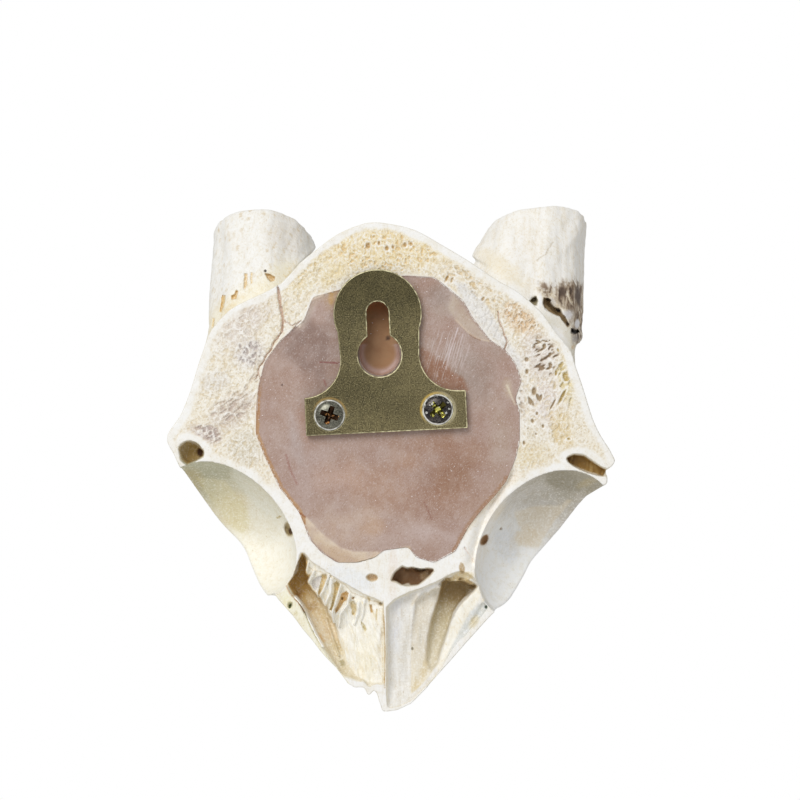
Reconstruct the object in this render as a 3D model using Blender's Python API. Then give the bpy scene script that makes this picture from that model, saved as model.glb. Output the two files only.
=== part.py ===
"""Skull cap of a small antelope, sawn flat from behind and hung by a keyhole plate.

Sizes are in millimetres until a mesh is made, which is in metres. +Z runs from the nose to
the back of the head, +Y from the wall out to the forehead, and the origin lies on the
outer face of the hanger plate, between its two screws.
"""
import math

import bmesh
import bpy
import numpy as np
from mathutils import Matrix, Vector

MM = 0.001
GAP = 0.3
WELD_DISTANCE = 0.0000015

# Saw cut: the flat face that hangs towards the wall
SAW_Y = 1.8
BELOW = -3.0
BEYOND = 70.0

# Forehead: height over the saw cut
BROW_TOP = 35.0
BROW_FALL = 0.006
NOSE_TIP_Z = -67.0
NOSE_TIP_RISE = 2.4
NOSE_SLOPE = 0.56
SIDE_FALL = 0.005
BLEND = 7.0
EDGE_POWER = 2.3
CENTRE_X = 0.0
CENTRE_Z = -8.0

# Sawn outline: x, z and the height of the bone's outer wall over the saw cut there
OUTLINE = [
    (-0.2, 41.1, 3.0), (-5.3, 41.3, 3.0), (-11.6, 38.8, 3.0), (-15.8, 35.7, 4.0),
    (-20.0, 32.4, 5.0), (-24.0, 28.0, 7.0), (-30.2, 24.8, 9.0), (-35.3, 22.2, 11.0),
    (-39.5, 17.7, 12.0), (-41.1, 13.7, 12.0), (-42.6, 9.3, 12.0), (-44.2, 4.0, 12.0),
    (-46.4, -1.4, 12.0), (-48.9, -4.9, 11.0), (-49.3, -7.1, 11.0), (-47.8, -9.8, 10.0),
    (-46.4, -12.9, 9.0), (-43.8, -17.6, 9.0), (-40.1, -23.3, 9.0), (-37.4, -26.7, 9.0),
    (-34.2, -29.9, 9.0), (-32.6, -32.3, 9.0), (-31.3, -35.3, 8.0), (-29.4, -39.0, 7.0),
    (-27.2, -41.4, 7.0), (-24.6, -43.0, 5.0), (-15.6, -54.0, 3.0), (-9.1, -60.8, 2.4),
    (-6.2, -61.5, 2.0), (-3.1, -62.2, 2.0), (-1.8, -66.2, 1.6), (-0.7, -66.8, 1.6),
    (4.6, -65.0, 1.8), (12.2, -56.7, 2.6), (22.2, -45.5, 4.0), (24.5, -44.1, 5.0),
    (26.9, -42.5, 7.0), (30.1, -37.7, 8.0), (31.7, -34.7, 9.0), (34.2, -31.8, 9.0),
    (38.2, -27.2, 9.0), (40.7, -23.8, 9.0), (44.1, -19.3, 9.0), (48.1, -16.2, 9.0),
    (47.8, -13.3, 10.0), (49.9, -11.4, 11.0), (46.8, -6.2, 12.0), (44.8, -2.0, 12.0),
    (42.6, 5.1, 12.0), (40.8, 10.2, 12.0), (39.9, 13.1, 12.0), (36.6, 17.1, 12.0),
    (33.3, 21.7, 10.0), (28.0, 26.2, 8.0), (23.7, 28.6, 7.0), (17.5, 32.8, 5.0),
    (11.1, 36.6, 4.0), (5.5, 39.7, 3.0),
]
OUTLINE_STEPS = 2
OUTLINE_MARGIN = 0.3
DOME_RINGS = (1.0, 0.985, 0.95, 0.89, 0.8, 0.69, 0.56, 0.42, 0.28, 0.14)

# Eye sockets: hollows whose centres lie in the saw cut, turned clockwise by so many degrees
SOCKETS = {
    "left": {"centre": (-35.6, SAW_Y, -26.7), "radii": (11.7, 16.0, 17.6), "turn": -43.0},
    "right": {"centre": (34.6, SAW_Y, -30.2), "radii": (18.5, 16.0, 13.6), "turn": -51.3},
}
SOCKET_RIM = 2.4

# Brain cavity, filled with resin
BRAIN = [
    (9.7, 29.1), (12.9, 26.6), (16.0, 24.0), (18.0, 20.4), (22.0, 15.3), (25.3, 13.1),
    (27.5, 10.2), (28.8, 6.6), (27.5, 2.6), (28.4, -0.5), (28.4, -6.7), (27.5, -10.7),
    (25.5, -15.6), (23.1, -18.7), (19.3, -22.9), (17.1, -25.8), (14.2, -31.1),
    (9.7, -33.5), (6.0, -32.4), (4.2, -30.2), (-1.6, -30.9), (-3.6, -32.4),
    (-7.6, -33.5), (-11.6, -33.5), (-15.1, -31.3), (-17.6, -28.4), (-18.9, -24.9),
    (-20.0, -22.4), (-24.2, -17.1), (-27.5, -10.2), (-29.5, -5.1), (-29.3, 1.5),
    (-28.9, 5.1), (-27.5, 10.6), (-24.2, 15.1), (-18.9, 19.7), (-16.9, 24.8),
    (-11.6, 26.2), (-5.6, 28.4), (3.5, 29.5),
]
BRAIN_DEPTH = 25.0
BRAIN_WALL = 4.0
BRAIN_RINGS = (1.0, 0.96, 0.87, 0.72, 0.52, 0.28)

# Sieve bone between the brain cavity and the nose, with its comb of thin leaves
SIEVE = [
    (-17.3, -29.1), (-14.4, -31.8), (-11.6, -33.8), (-7.6, -33.8), (-3.6, -32.7),
    (-1.6, -30.9), (4.2, -30.2), (6.0, -32.4), (9.7, -33.5), (14.2, -31.1), (16.4, -29.6),
    (19.2, -34.7), (17.3, -35.5), (14.6, -36.0), (12.4, -37.1), (9.3, -38.4),
    (6.6, -39.5), (4.0, -40.4), (1.3, -42.2), (-0.2, -44.6), (-2.2, -44.6),
    (-4.0, -43.5), (-6.2, -42.4), (-8.9, -40.9), (-12.0, -38.9), (-15.1, -36.9),
    (-18.2, -34.7), (-19.2, -32.0),
]
SIEVE_DEPTH = 11.0
SIEVE_WINDOW = [(0.6, -37.5), (2.6, -35.3), (5.1, -35.1), (9.5, -35.8), (6.2, -38.9), (3.3, -39.1)]
SIEVE_WINDOW_DEPTH = 8.0
LEAVES = [
    {"root": (-16.6, -35.0), "tip": (-17.4, -39.2), "thick": 1.1, "depth": 8.0},
    {"root": (-13.9, -37.0), "tip": (-14.6, -42.6), "thick": 1.2, "depth": 8.0},
    {"root": (-11.2, -39.0), "tip": (-12.6, -46.4), "thick": 1.2, "depth": 7.0},
    {"root": (-8.4, -40.6), "tip": (-9.6, -48.0), "thick": 1.1, "depth": 6.0},
    {"root": (-5.8, -42.0), "tip": (-6.6, -50.0), "thick": 1.0, "depth": 4.5},
]
LEAF_ROOT = 1.6

# Partition of the nose
SEPTUM_X = -1.15
SEPTUM_THICK = 1.7
SEPTUM_TOP_Z = -45.1
SEPTUM_TIP_Z = -66.2
SEPTUM_DEPTH = 9.0
SEPTUM_TIP_DEPTH = 0.9

# Hollows of the nose, each with its outline and its depth near and far from the tip
LEFT_HOLLOW = [
    (-19.8, -32.4), (-17.3, -36.4), (-13.3, -39.5), (-9.3, -41.8), (-6.2, -42.9),
    (-3.2, -44.9), (-2.9, -51.1), (-3.1, -58.2), (-5.3, -60.2), (-8.9, -59.0),
    (-12.2, -55.5), (-15.1, -51.1), (-17.3, -47.1), (-19.3, -43.5), (-22.2, -38.8),
]
INNER_RIGHT_HOLLOW = [
    (0.4, -44.9), (1.5, -43.1), (4.2, -41.8), (4.9, -44.4), (4.7, -51.1), (4.4, -61.4),
    (2.4, -63.2), (0.4, -63.6),
]
OUTER_RIGHT_HOLLOW = [
    (12.4, -37.5), (18.2, -38.6), (19.3, -39.5), (17.5, -41.5), (15.3, -43.8),
    (13.5, -47.1), (11.3, -52.2), (8.2, -57.2), (6.4, -58.8), (5.7, -51.1),
    (6.2, -44.9), (8.6, -40.4),
]
RIDGE_HOLLOW = [(20.9, -42.4), (21.4, -44.2), (17.4, -49.0), (14.9, -52.2), (15.7, -49.4), (18.6, -44.4)]
NOSE_ROOF = 2.0
LEFT_NEAR_SEPTUM = 3.0
LEFT_STEEPNESS = 0.95
INNER_RIGHT_DEPTH = 6.5
OUTER_RIGHT_DEPTH = 16.0
RIDGE_DEPTH = 3.0
HOLLOW_RINGS = (1.0, 0.94, 0.7, 0.4)

# Small openings: centre, radii and the turn about the Y axis in degrees
OPENINGS = {
    "corner_left": {"centre": (-44.3, SAW_Y, -9.1), "radii": (2.7, 8.0, 2.2), "turn": 20.0},
    "corner_right": {"centre": (43.9, SAW_Y, -12.7), "radii": (4.9, 9.0, 1.15), "turn": 21.0},
    "socket_hole_left": {"centre": (-21.9, 12.5, -26.2), "radii": (1.1, 5.0, 1.6), "turn": 0.0},
    "socket_hole_right": {"centre": (21.2, 13.0, -28.4), "radii": (1.1, 5.0, 1.5), "turn": 0.0},
    "tear_hole_left": {"centre": (-22.2, SAW_Y, -43.3), "radii": (0.7, 3.0, 0.8), "turn": 0.0},
    "horn_hole_left": {"centre": (-27.4, 17.0, 29.6), "radii": (1.2, 4.5, 0.9), "turn": 10.0},
    "horn_slit_left": {"centre": (-33.6, 17.0, 28.2), "radii": (2.2, 4.5, 0.8), "turn": -38.0},
    "horn_hole_right": {"centre": (32.9, 17.0, 25.2), "radii": (1.1, 4.5, 1.0), "turn": 0.0},
    "horn_slit_right": {"centre": (37.9, 17.0, 23.2), "radii": (3.6, 4.5, 1.0), "turn": 40.0},
    "sieve_hole": {"centre": (-4.0, SAW_Y, -37.4), "radii": (1.2, 3.0, 0.75), "turn": 0.0},
}

# Brow openings on the forehead, each with a shallow groove towards the nose
BROW_HOLE_X = 15.5
BROW_HOLE_Z = -14.0
BROW_HOLE_RADIUS = 1.6
BROW_HOLE_DEPTH = 7.0

# Horn cores, sawn off square, each on a pedicle that runs down into the brow
HORN_TILT = math.radians(31.0)
HORN_LENGTH = 33.0
HORN_HALF_WIDTH = 12.1
HORN_HALF_DEPTH = 12.6
HORN_SIDES = 36
HORN_FLUTES = 9
HORN_FLUTE_DEPTH = 0.022
HORNS = {
    "left": {"top": (-30.4, 44.0, 40.8), "lean": 0.0, "flare": 0.10, "roll": 0.0},
    "right": {"top": (34.6, 44.0, 41.6), "lean": 0.08, "flare": 0.75, "roll": 0.10},
}
HORN_JOINT = 9.0
HORN_STATIONS = [
    (HORN_JOINT + GAP / 2, 1.04, 0.0), (13.0, 1.03, 0.0), (18.0, 1.01, 0.0), (24.0, 1.0, 0.0),
    (29.0, 1.0, 0.0), (HORN_LENGTH - 0.7, 0.99, 0.0), (HORN_LENGTH, 0.95, 0.0),
]
PEDICLE_STATIONS = [
    (-30.0, 0.30, 6.0), (-24.0, 0.60, 5.0), (-16.0, 0.86, 3.6), (-8.0, 0.98, 2.0),
    (0.0, 1.03, 0.4), (HORN_JOINT - GAP / 2, 1.04, 0.0),
]

# Joints between the bones, as paths across the cap
CROWN_SUTURE = [
    (-23.0, 60.0), (-23.8, 30.0), (-24.4, 22.0), (-22.0, 13.5), (-13.0, 12.0), (-4.0, 9.5),
    (4.0, 9.5), (13.0, 12.0), (25.5, 11.8), (27.2, 14.6), (25.0, 22.0), (24.0, 30.0), (23.0, 60.0),
]
MID_SUTURE = [(-0.1, 9.5), (-0.1, -10.0), (-1.15, -36.0), (-1.15, -80.0)]
NOSE_SUTURE = [
    (-45.0, -60.0), (-26.2, -43.4), (-21.8, -38.0), (-14.0, -43.0), (-8.0, -40.0),
    (-1.15, -35.0), (6.0, -40.0), (13.0, -43.5), (20.6, -41.2), (24.0, -45.4), (45.0, -62.0),
]
TEAR_SUTURE_LEFT = [(-14.0, -43.0), (-11.6, -48.0), (-8.0, -56.0), (-7.4, -75.0)]
TEAR_SUTURE_RIGHT = [(13.0, -43.5), (11.4, -48.0), (8.8, -57.0), (8.0, -75.0)]

# Hanger plate, in its own plane: u to the right and v up from the middle of its lower edge
PLATE_THICK = 1.5
PLATE_TURN = math.radians(2.9)
PLATE_FOOT = (-0.7, -4.9)
PLATE_HALF_WIDTH = 17.9
PLATE_BASE_HEIGHT = 8.4
NECK_U = -0.75
FLARE_RADIUS = 8.35
FLARE_U = 17.1
FLARE_V = 16.8
PLATE_HEAD_V = 26.3
PLATE_HEAD_RADIUS = 9.8
KEYHOLE_V = 17.15
KEYHOLE_RADIUS = 4.85
SLOT_HALF_WIDTH = 2.45
SLOT_TOP_V = 29.0
POCKET_RADIUS = 5.1
POCKET_DEPTH = 5.5

# Wood screws with raised countersunk heads and a cross recess
SCREW_U = (-12.5, 11.5)
SCREW_V = 4.4
SCREW_HEAD_RADIUS = 3.5
SCREW_HEAD_RISE = 1.4
SCREW_HEAD_EDGE = 0.05
SCREW_SHANK_RADIUS = 1.7
SCREW_LENGTH = 14.0
SCREW_NECK = 1.15
SCREW_SIDES = 24
SINK_RADIUS = 3.95
SINK_DEPTH = 1.3
SINK_SLOPE = 1.5
HOLE_RADIUS = 2.0
RECESS_ARM = 1.9
RECESS_WIDTH = 0.8
RECESS_DEPTH = 0.9
RECESS_TURNS = {"left": 20.0, "right": 48.0}

FINISHES = {
    "bone": ((0.80, 0.75, 0.62), 0.62, 0.0),
    "horn_bone": ((0.82, 0.79, 0.70), 0.7, 0.0),
    "thin_bone": ((0.85, 0.82, 0.74), 0.58, 0.0),
    "resin": ((0.47, 0.33, 0.29), 0.35, 0.0),
    "brass": ((0.30, 0.26, 0.15), 0.42, 0.9),
    "zinc": ((0.50, 0.49, 0.43), 0.35, 1.0),
}


def clear_scene():
    """Remove whatever the opened scene holds."""
    for old in list(bpy.data.objects):
        bpy.data.objects.remove(old, do_unlink=True)


def finish_material(key):
    """One material for each finish, shared by the nodes that have it."""
    material = bpy.data.materials.get(key)
    if material:
        return material
    colour, roughness, metallic = FINISHES[key]
    material = bpy.data.materials.new(key)
    material.use_nodes = True
    shader = material.node_tree.nodes["Principled BSDF"]
    shader.inputs["Base Color"].default_value = (*colour, 1.0)
    shader.inputs["Roughness"].default_value = roughness
    shader.inputs["Metallic"].default_value = metallic
    return material


def object_from_bmesh(name, bm):
    """Link a mesh in millimetres as an object in metres."""
    bmesh.ops.remove_doubles(bm, verts=bm.verts, dist=0.002)
    bmesh.ops.recalc_face_normals(bm, faces=bm.faces)
    bmesh.ops.scale(bm, vec=(MM, MM, MM), verts=bm.verts)
    mesh = bpy.data.meshes.new(name)
    bm.to_mesh(mesh)
    bm.free()
    made = bpy.data.objects.new(name, mesh)
    bpy.context.collection.objects.link(made)
    return made


def weld(mesh):
    """Close the hairline slits that a Boolean can leave between nearly equal points."""
    bm = bmesh.new()
    bm.from_mesh(mesh)
    bmesh.ops.remove_doubles(bm, verts=bm.verts, dist=WELD_DISTANCE)
    bmesh.ops.dissolve_degenerate(bm, edges=bm.edges, dist=WELD_DISTANCE)
    bm.to_mesh(mesh)
    bm.free()


def combine(target, tool, operation, solver="EXACT"):
    """Apply one Boolean to the target and remove the tool."""
    modifier = target.modifiers.new("combine", "BOOLEAN")
    modifier.operation = operation
    modifier.solver = solver
    modifier.object = tool
    bpy.context.view_layer.update()
    evaluated = target.evaluated_get(bpy.context.evaluated_depsgraph_get())
    mesh = bpy.data.meshes.new_from_object(evaluated)
    target.modifiers.clear()
    weld(mesh)
    old = target.data
    target.data = mesh
    bpy.data.meshes.remove(old)
    bpy.data.objects.remove(tool, do_unlink=True)


def cut(target, tool, solver="EXACT"):
    combine(target, tool, "DIFFERENCE", solver)


def fuse(target, tool):
    combine(target, tool, "UNION")


def smooth_loop(points, steps):
    """A closed curve through the points, read at a few places along each span."""
    values = np.array(points, dtype=float)
    count = len(values)
    curve = []
    for index in range(count):
        before, start, end, after = (values[(index + k) % count] for k in (-1, 0, 1, 2))
        for step in range(steps):
            t = step / steps
            bend = 2 * before - 5 * start + 4 * end - after
            curl = 3 * start - before - 3 * end + after
            curve.append(0.5 * (2 * start + (end - before) * t + bend * t * t + curl * t ** 3))
    return np.array(curve)


def grow(points, distance):
    """Move a closed outline outwards by a distance, or inwards by a negative one."""
    values = np.array(points, dtype=float)[:, :2]
    following = np.roll(values, -1, axis=0)
    area = np.sum(values[:, 0] * following[:, 1] - following[:, 0] * values[:, 1])
    along = following - np.roll(values, 1, axis=0)
    normal = np.stack([along[:, 1], -along[:, 0]], axis=1) * np.sign(area)
    normal /= np.linalg.norm(normal, axis=1)[:, None]
    return values + normal * distance


OUTLINE_CURVE = smooth_loop(OUTLINE, OUTLINE_STEPS)
OUTLINE_CURVE[:, :2] = grow(OUTLINE_CURVE, OUTLINE_MARGIN)
OUTLINE_ANGLES = np.arctan2(OUTLINE_CURVE[:, 1] - CENTRE_Z, OUTLINE_CURVE[:, 0] - CENTRE_X)
OUTLINE_ORDER = np.argsort(OUTLINE_ANGLES)
OUTLINE_REACH = np.hypot(OUTLINE_CURVE[:, 0] - CENTRE_X, OUTLINE_CURVE[:, 1] - CENTRE_Z)


def around(angle, values):
    """Read a value that is known along the outline at any direction from the centre."""
    return np.interp(angle, OUTLINE_ANGLES[OUTLINE_ORDER], values[OUTLINE_ORDER], period=2 * math.pi)


def socket_roof(x, z):
    """Height of the roof of the eye sockets over the saw cut, 0 outside them."""
    roof = 0.0
    for socket in SOCKETS.values():
        turn = math.radians(socket["turn"])
        across = x - socket["centre"][0]
        up = z - socket["centre"][2]
        first = across * math.cos(turn) - up * math.sin(turn)
        second = across * math.sin(turn) + up * math.cos(turn)
        spread = (first / socket["radii"][0]) ** 2 + (second / socket["radii"][2]) ** 2
        if spread < 1:
            roof = max(roof, socket["radii"][1] * math.sqrt(1 - spread))
    return roof


OUTLINE_WALLS = np.array([
    max(wall, socket_roof(x, z) + SOCKET_RIM) if socket_roof(x, z) else wall
    for x, z, wall in OUTLINE_CURVE
])


def forehead(x, z):
    """Height of the face over the saw cut, without the rounding at its edges."""
    slope = NOSE_TIP_RISE + NOSE_SLOPE * (z - NOSE_TIP_Z)
    top = BROW_TOP - BROW_FALL * z * z
    mix = min(max(0.5 + 0.5 * (top - slope) / BLEND, 0.0), 1.0)
    height = top + (slope - top) * mix - BLEND * mix * (1 - mix)
    return max(height - SIDE_FALL * x * x, 1.0)


def outer_height(x, z):
    """Height of the outer surface of the bone over the saw cut."""
    angle = math.atan2(z - CENTRE_Z, x - CENTRE_X)
    share = min(math.hypot(x - CENTRE_X, z - CENTRE_Z) / float(around(angle, OUTLINE_REACH)), 1.0)
    wall = float(around(angle, OUTLINE_WALLS))
    rounding = (1 - share ** EDGE_POWER) ** (1 / EDGE_POWER)
    return wall + (forehead(x, z) - wall) * rounding


def mound(name, outline, low, height, rings):
    """A closed solid over an outline, flat below, with its top height given by a function."""
    points = np.array(outline, dtype=float)[:, :2]
    middle = points.mean(axis=0) if name != "cap" else np.array([CENTRE_X, CENTRE_Z])
    bm = bmesh.new()
    base = [bm.verts.new((x, low, z)) for x, z in points]
    bm.faces.new(base)
    previous = base
    for ring in rings:
        row = []
        for x, z in middle + (points - middle) * ring:
            row.append(bm.verts.new((x, SAW_Y + height(x, z, ring), z)))
        for index in range(len(row)):
            after = (index + 1) % len(row)
            bm.faces.new((previous[index], previous[after], row[after]))
            bm.faces.new((previous[index], row[after], row[index]))
        previous = row
    peak = bm.verts.new((middle[0], SAW_Y + height(*middle, 0.0), middle[1]))
    for index in range(len(previous)):
        bm.faces.new((previous[index], previous[(index + 1) % len(previous)], peak))
    return object_from_bmesh(name, bm)


def prism(name, outline, low, high):
    """An outline in the XZ plane pushed along Y."""
    bm = bmesh.new()
    face = bm.faces.new([bm.verts.new((x, low, z)) for x, z in np.array(outline)[:, :2]])
    pushed = bmesh.ops.extrude_face_region(bm, geom=[face])
    top = [item for item in pushed["geom"] if isinstance(item, bmesh.types.BMVert)]
    bmesh.ops.translate(bm, vec=(0, high - low, 0), verts=top)
    bmesh.ops.triangulate(bm, faces=bm.faces)
    return object_from_bmesh(name, bm)


def ball(name, centre, radii, turn=0.0, sides=24, rings=14):
    """An ellipsoid, turned about the Y axis."""
    bm = bmesh.new()
    bmesh.ops.create_uvsphere(bm, u_segments=sides, v_segments=rings, radius=1.0)
    shape = Matrix.Diagonal((*radii, 1.0))
    place = Matrix.Translation(centre) @ Matrix.Rotation(math.radians(turn), 4, "Y") @ shape
    bmesh.ops.transform(bm, matrix=place, verts=bm.verts)
    return object_from_bmesh(name, bm)


def kerf(name, path):
    """A thin upright cut that follows a path across the cap."""
    points = np.array(path, dtype=float)
    along = np.gradient(points, axis=0)
    side = np.stack([-along[:, 1], along[:, 0]], axis=1)
    side /= np.linalg.norm(side, axis=1)[:, None]
    left = points + side * GAP / 2
    right = points - side * GAP / 2
    return prism(name, np.concatenate([left, right[::-1]]), BELOW, BEYOND)


def loose_parts(source):
    """Split an object into its closed bodies, largest first, and remove the source."""
    bm = bmesh.new()
    bm.from_mesh(source.data)
    bm.faces.ensure_lookup_table()
    left = set(bm.faces)
    groups = []
    while left:
        seed = left.pop()
        group = {seed}
        edge_of_group = [seed]
        while edge_of_group:
            face = edge_of_group.pop()
            for edge in face.edges:
                for neighbour in edge.link_faces:
                    if neighbour in left:
                        left.discard(neighbour)
                        group.add(neighbour)
                        edge_of_group.append(neighbour)
        groups.append([face.index for face in group])
    parts = []
    for group in groups:
        keep = set(group)
        part = bm.copy()
        part.faces.ensure_lookup_table()
        bmesh.ops.delete(part, geom=[face for face in part.faces if face.index not in keep],
                         context="FACES")
        parts.append((part.calc_volume(signed=False), part))
    bm.free()
    parts.sort(key=lambda pair: -pair[0])
    bpy.data.objects.remove(source, do_unlink=True)
    return parts


def largest_body(target):
    """Drop the scraps that a cut leaves."""
    name = target.name
    parts = loose_parts(target)
    for volume, part in parts[1:]:
        part.free()
    mesh = bpy.data.meshes.new(name)
    parts[0][1].to_mesh(mesh)
    parts[0][1].free()
    made = bpy.data.objects.new(name, mesh)
    bpy.context.collection.objects.link(made)
    return made


def dress(target, key, angle=35.0):
    """Give a node its finish and smooth shading with sharp edges kept."""
    target.data.materials.clear()
    target.data.materials.append(finish_material(key))
    target.data.shade_smooth()
    target.data.set_sharp_from_angle(angle=math.radians(angle))


def brain_height(depth, x, z, ring):
    """Height of the brain cavity's roof over the saw cut."""
    return BRAIN_WALL + (depth - BRAIN_WALL) * math.sqrt(max(1 - ring ** 2.2, 0.0))


def roof_under(x, z):
    """Greatest depth that leaves the nose its roof."""
    return max(outer_height(x, z) - NOSE_ROOF, 0.6)


def left_hollow_height(x, z, ring):
    slope = LEFT_NEAR_SEPTUM + LEFT_STEEPNESS * max(-3.0 - x, 0.0)
    return min(slope * (1.08 - ring ** 4 * 0.25), roof_under(x, z))


def inner_right_height(x, z, ring):
    share = (z - NOSE_TIP_Z) / (INNER_RIGHT_HOLLOW[1][1] - NOSE_TIP_Z)
    return min(INNER_RIGHT_DEPTH * share * (1 - 0.4 * ring ** 3), roof_under(x, z))


def outer_right_height(x, z, ring):
    share = (z - NOSE_TIP_Z) / (OUTER_RIGHT_HOLLOW[0][1] - NOSE_TIP_Z)
    return min(OUTER_RIGHT_DEPTH * share ** 1.4 * (1 - 0.3 * ring ** 3), roof_under(x, z))


def ridge_height(x, z, ring):
    return RIDGE_DEPTH * (1 - 0.5 * ring)


def septum(name, extra):
    """The flat partition of the nose, or the cut that it sits in."""
    near = SAW_Y if not extra else BELOW
    deep = SAW_Y + SEPTUM_DEPTH + extra
    tip_deep = SAW_Y + SEPTUM_TIP_DEPTH + extra
    profile = [(near, SEPTUM_TOP_Z + extra), (deep, SEPTUM_TOP_Z + extra),
               (tip_deep, SEPTUM_TIP_Z - extra), (near, SEPTUM_TIP_Z - extra)]
    half = SEPTUM_THICK / 2 + extra
    bm = bmesh.new()
    face = bm.faces.new([bm.verts.new((SEPTUM_X - half, y, z)) for y, z in profile])
    pushed = bmesh.ops.extrude_face_region(bm, geom=[face])
    far = [item for item in pushed["geom"] if isinstance(item, bmesh.types.BMVert)]
    bmesh.ops.translate(bm, vec=(2 * half, 0, 0), verts=far)
    bmesh.ops.triangulate(bm, faces=bm.faces)
    return object_from_bmesh(name, bm)


def leaf(name, root, tip, thick, depth, extra=0.0):
    """One thin leaf of the comb, wide in depth and tapering to its tip, or the room it needs."""
    start = np.array(root)
    end = np.array(tip)
    along = (end - start) / np.linalg.norm(end - start)
    side = np.array([-along[1], along[0]])
    start = start - along * LEAF_ROOT
    half = thick / 2
    outline = [start - side * half * 1.2, start + side * half * 1.2,
               start + (end - start) * 0.6 + side * half, end + side * half * 0.5,
               end - side * half * 0.5, start + (end - start) * 0.6 - side * half]
    if extra:
        return prism(name, grow(outline, extra), BELOW, SAW_Y + depth + extra)
    return prism(name, outline, SAW_Y + 0.15, SAW_Y + depth)


def build_cap():
    """The whole bone cap with its hollows, before it is parted into bones."""
    cap = mound("cap", OUTLINE_CURVE, SAW_Y, lambda x, z, ring: outer_height(x, z), DOME_RINGS)
    for side in SOCKETS:
        fuse(cap, horn_shaft("pedicle", side, PEDICLE_STATIONS))
    for socket in SOCKETS.values():
        cut(cap, ball("socket", socket["centre"], socket["radii"], socket["turn"], 40, 22))
    cut(cap, brain_tool())
    cut(cap, prism("sieve_room", grow(SIEVE, GAP), BELOW, SAW_Y + SIEVE_DEPTH + GAP))
    cut(cap, septum("septum_room", GAP))
    for tool in hollow_tools():
        cut(cap, tool)
    for shape in LEAVES:
        cut(cap, leaf("leaf_room", **shape, extra=GAP))
    for key, opening in OPENINGS.items():
        if key != "sieve_hole":
            cut(cap, ball(key, opening["centre"], opening["radii"], opening["turn"], 16, 10))
    for side in (-1, 1):
        x = side * BROW_HOLE_X
        y = SAW_Y + outer_height(x, BROW_HOLE_Z)
        cut(cap, ball("brow_hole", (x, y, BROW_HOLE_Z),
                      (BROW_HOLE_RADIUS, BROW_HOLE_DEPTH, BROW_HOLE_RADIUS), 0.0, 12, 8))
        cut(cap, ball("brow_groove", (x, y - 0.2, BROW_HOLE_Z - 8.0), (1.3, 1.5, 9.0), 0.0, 10, 10))
    return cap


def brain_tool():
    curve = smooth_loop(BRAIN, 1)
    return mound("brain_room", curve, BELOW,
                 lambda x, z, ring: brain_height(BRAIN_DEPTH, x, z, ring), BRAIN_RINGS)


def hollow_tools():
    """The cutters of the nose's hollows."""
    shapes = [
        (LEFT_HOLLOW, left_hollow_height), (INNER_RIGHT_HOLLOW, inner_right_height),
        (OUTER_RIGHT_HOLLOW, outer_right_height), (RIDGE_HOLLOW, ridge_height),
    ]
    return [mound("hollow", outline, BELOW, height, HOLLOW_RINGS) for outline, height in shapes]


def part_cap(cap):
    """Cut the cap along its sutures and name the bones by their places."""
    paths = [CROWN_SUTURE, MID_SUTURE, NOSE_SUTURE, TEAR_SUTURE_LEFT, TEAR_SUTURE_RIGHT]
    for path in paths:
        cut(cap, kerf("kerf", path))
    bones = {}
    for volume, part in loose_parts(cap):
        middle = sum((vert.co for vert in part.verts), Vector()) / len(part.verts) / MM
        name = bone_name(middle)
        if name in bones:
            part.free()
            continue
        mesh = bpy.data.meshes.new(name)
        part.to_mesh(mesh)
        part.free()
        bones[name] = bpy.data.objects.new(name, mesh)
        bpy.context.collection.objects.link(bones[name])
    for bone in bones.values():
        dress(bone, "bone")
    return bones


def bone_name(middle):
    """The bone that a piece of the cap belongs to."""
    side = "left" if middle.x < 0 else "right"
    if middle.z > 20 and abs(middle.x) < 14:
        return "parietal"
    if middle.z > -38:
        return "frontal_" + side
    if abs(middle.x) < 8.5:
        return "nasal_" + side
    return "lacrimal_" + side


def build_sieve():
    """The sieve bone, with its comb of leaves on the left and its window on the right."""
    sieve = prism("ethmoid", SIEVE, SAW_Y, SAW_Y + SIEVE_DEPTH)
    cut(sieve, brain_tool())
    cut(sieve, prism("window", SIEVE_WINDOW, BELOW, SAW_Y + SIEVE_WINDOW_DEPTH))
    hole = OPENINGS["sieve_hole"]
    cut(sieve, ball("hole", hole["centre"], hole["radii"], 0.0, 14, 8))
    for shape in LEAVES:
        fuse(sieve, leaf("leaf", **shape))
    sieve = largest_body(sieve)
    dress(sieve, "thin_bone")


def horn_shaft(name, side, stations):
    """A fluted shaft through stations given as (distance along the axis, size, sunk depth)."""
    horn = HORNS[side]
    top = Vector(horn["top"])
    axis = Vector((0.0, math.sin(HORN_TILT), math.cos(HORN_TILT)))
    front = Vector((0.0, math.cos(HORN_TILT), -math.sin(HORN_TILT)))
    inward = 1.0 if side == "left" else -1.0
    bm = bmesh.new()
    previous = None
    for along, size, sunk in stations:
        centre = top - axis * (HORN_LENGTH - along) - front * sunk
        centre.x += inward * horn["lean"] * (HORN_LENGTH - along)
        row = []
        for step in range(HORN_SIDES):
            angle = 2 * math.pi * step / HORN_SIDES
            reach = size * (1 + HORN_FLUTE_DEPTH * math.cos(HORN_FLUTES * angle))
            inner = max(math.cos(angle) * inward, 0.0)
            reach *= 1 + horn["flare"] * inner * min(1 - along / HORN_LENGTH, 0.8)
            offset = Vector((math.cos(angle) * HORN_HALF_WIDTH * reach, 0, 0))
            if along > HORN_LENGTH - 1:
                offset += axis * (offset.x * horn["roll"])
            offset += front * (math.sin(angle) * HORN_HALF_DEPTH * reach)
            row.append(bm.verts.new(centre + offset))
        if previous is None:
            bm.faces.new(row)
        else:
            for index in range(HORN_SIDES):
                after = (index + 1) % HORN_SIDES
                bm.faces.new((previous[index], previous[after], row[after], row[index]))
        previous = row
    bm.faces.new(previous)
    return object_from_bmesh(name, bm)


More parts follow.
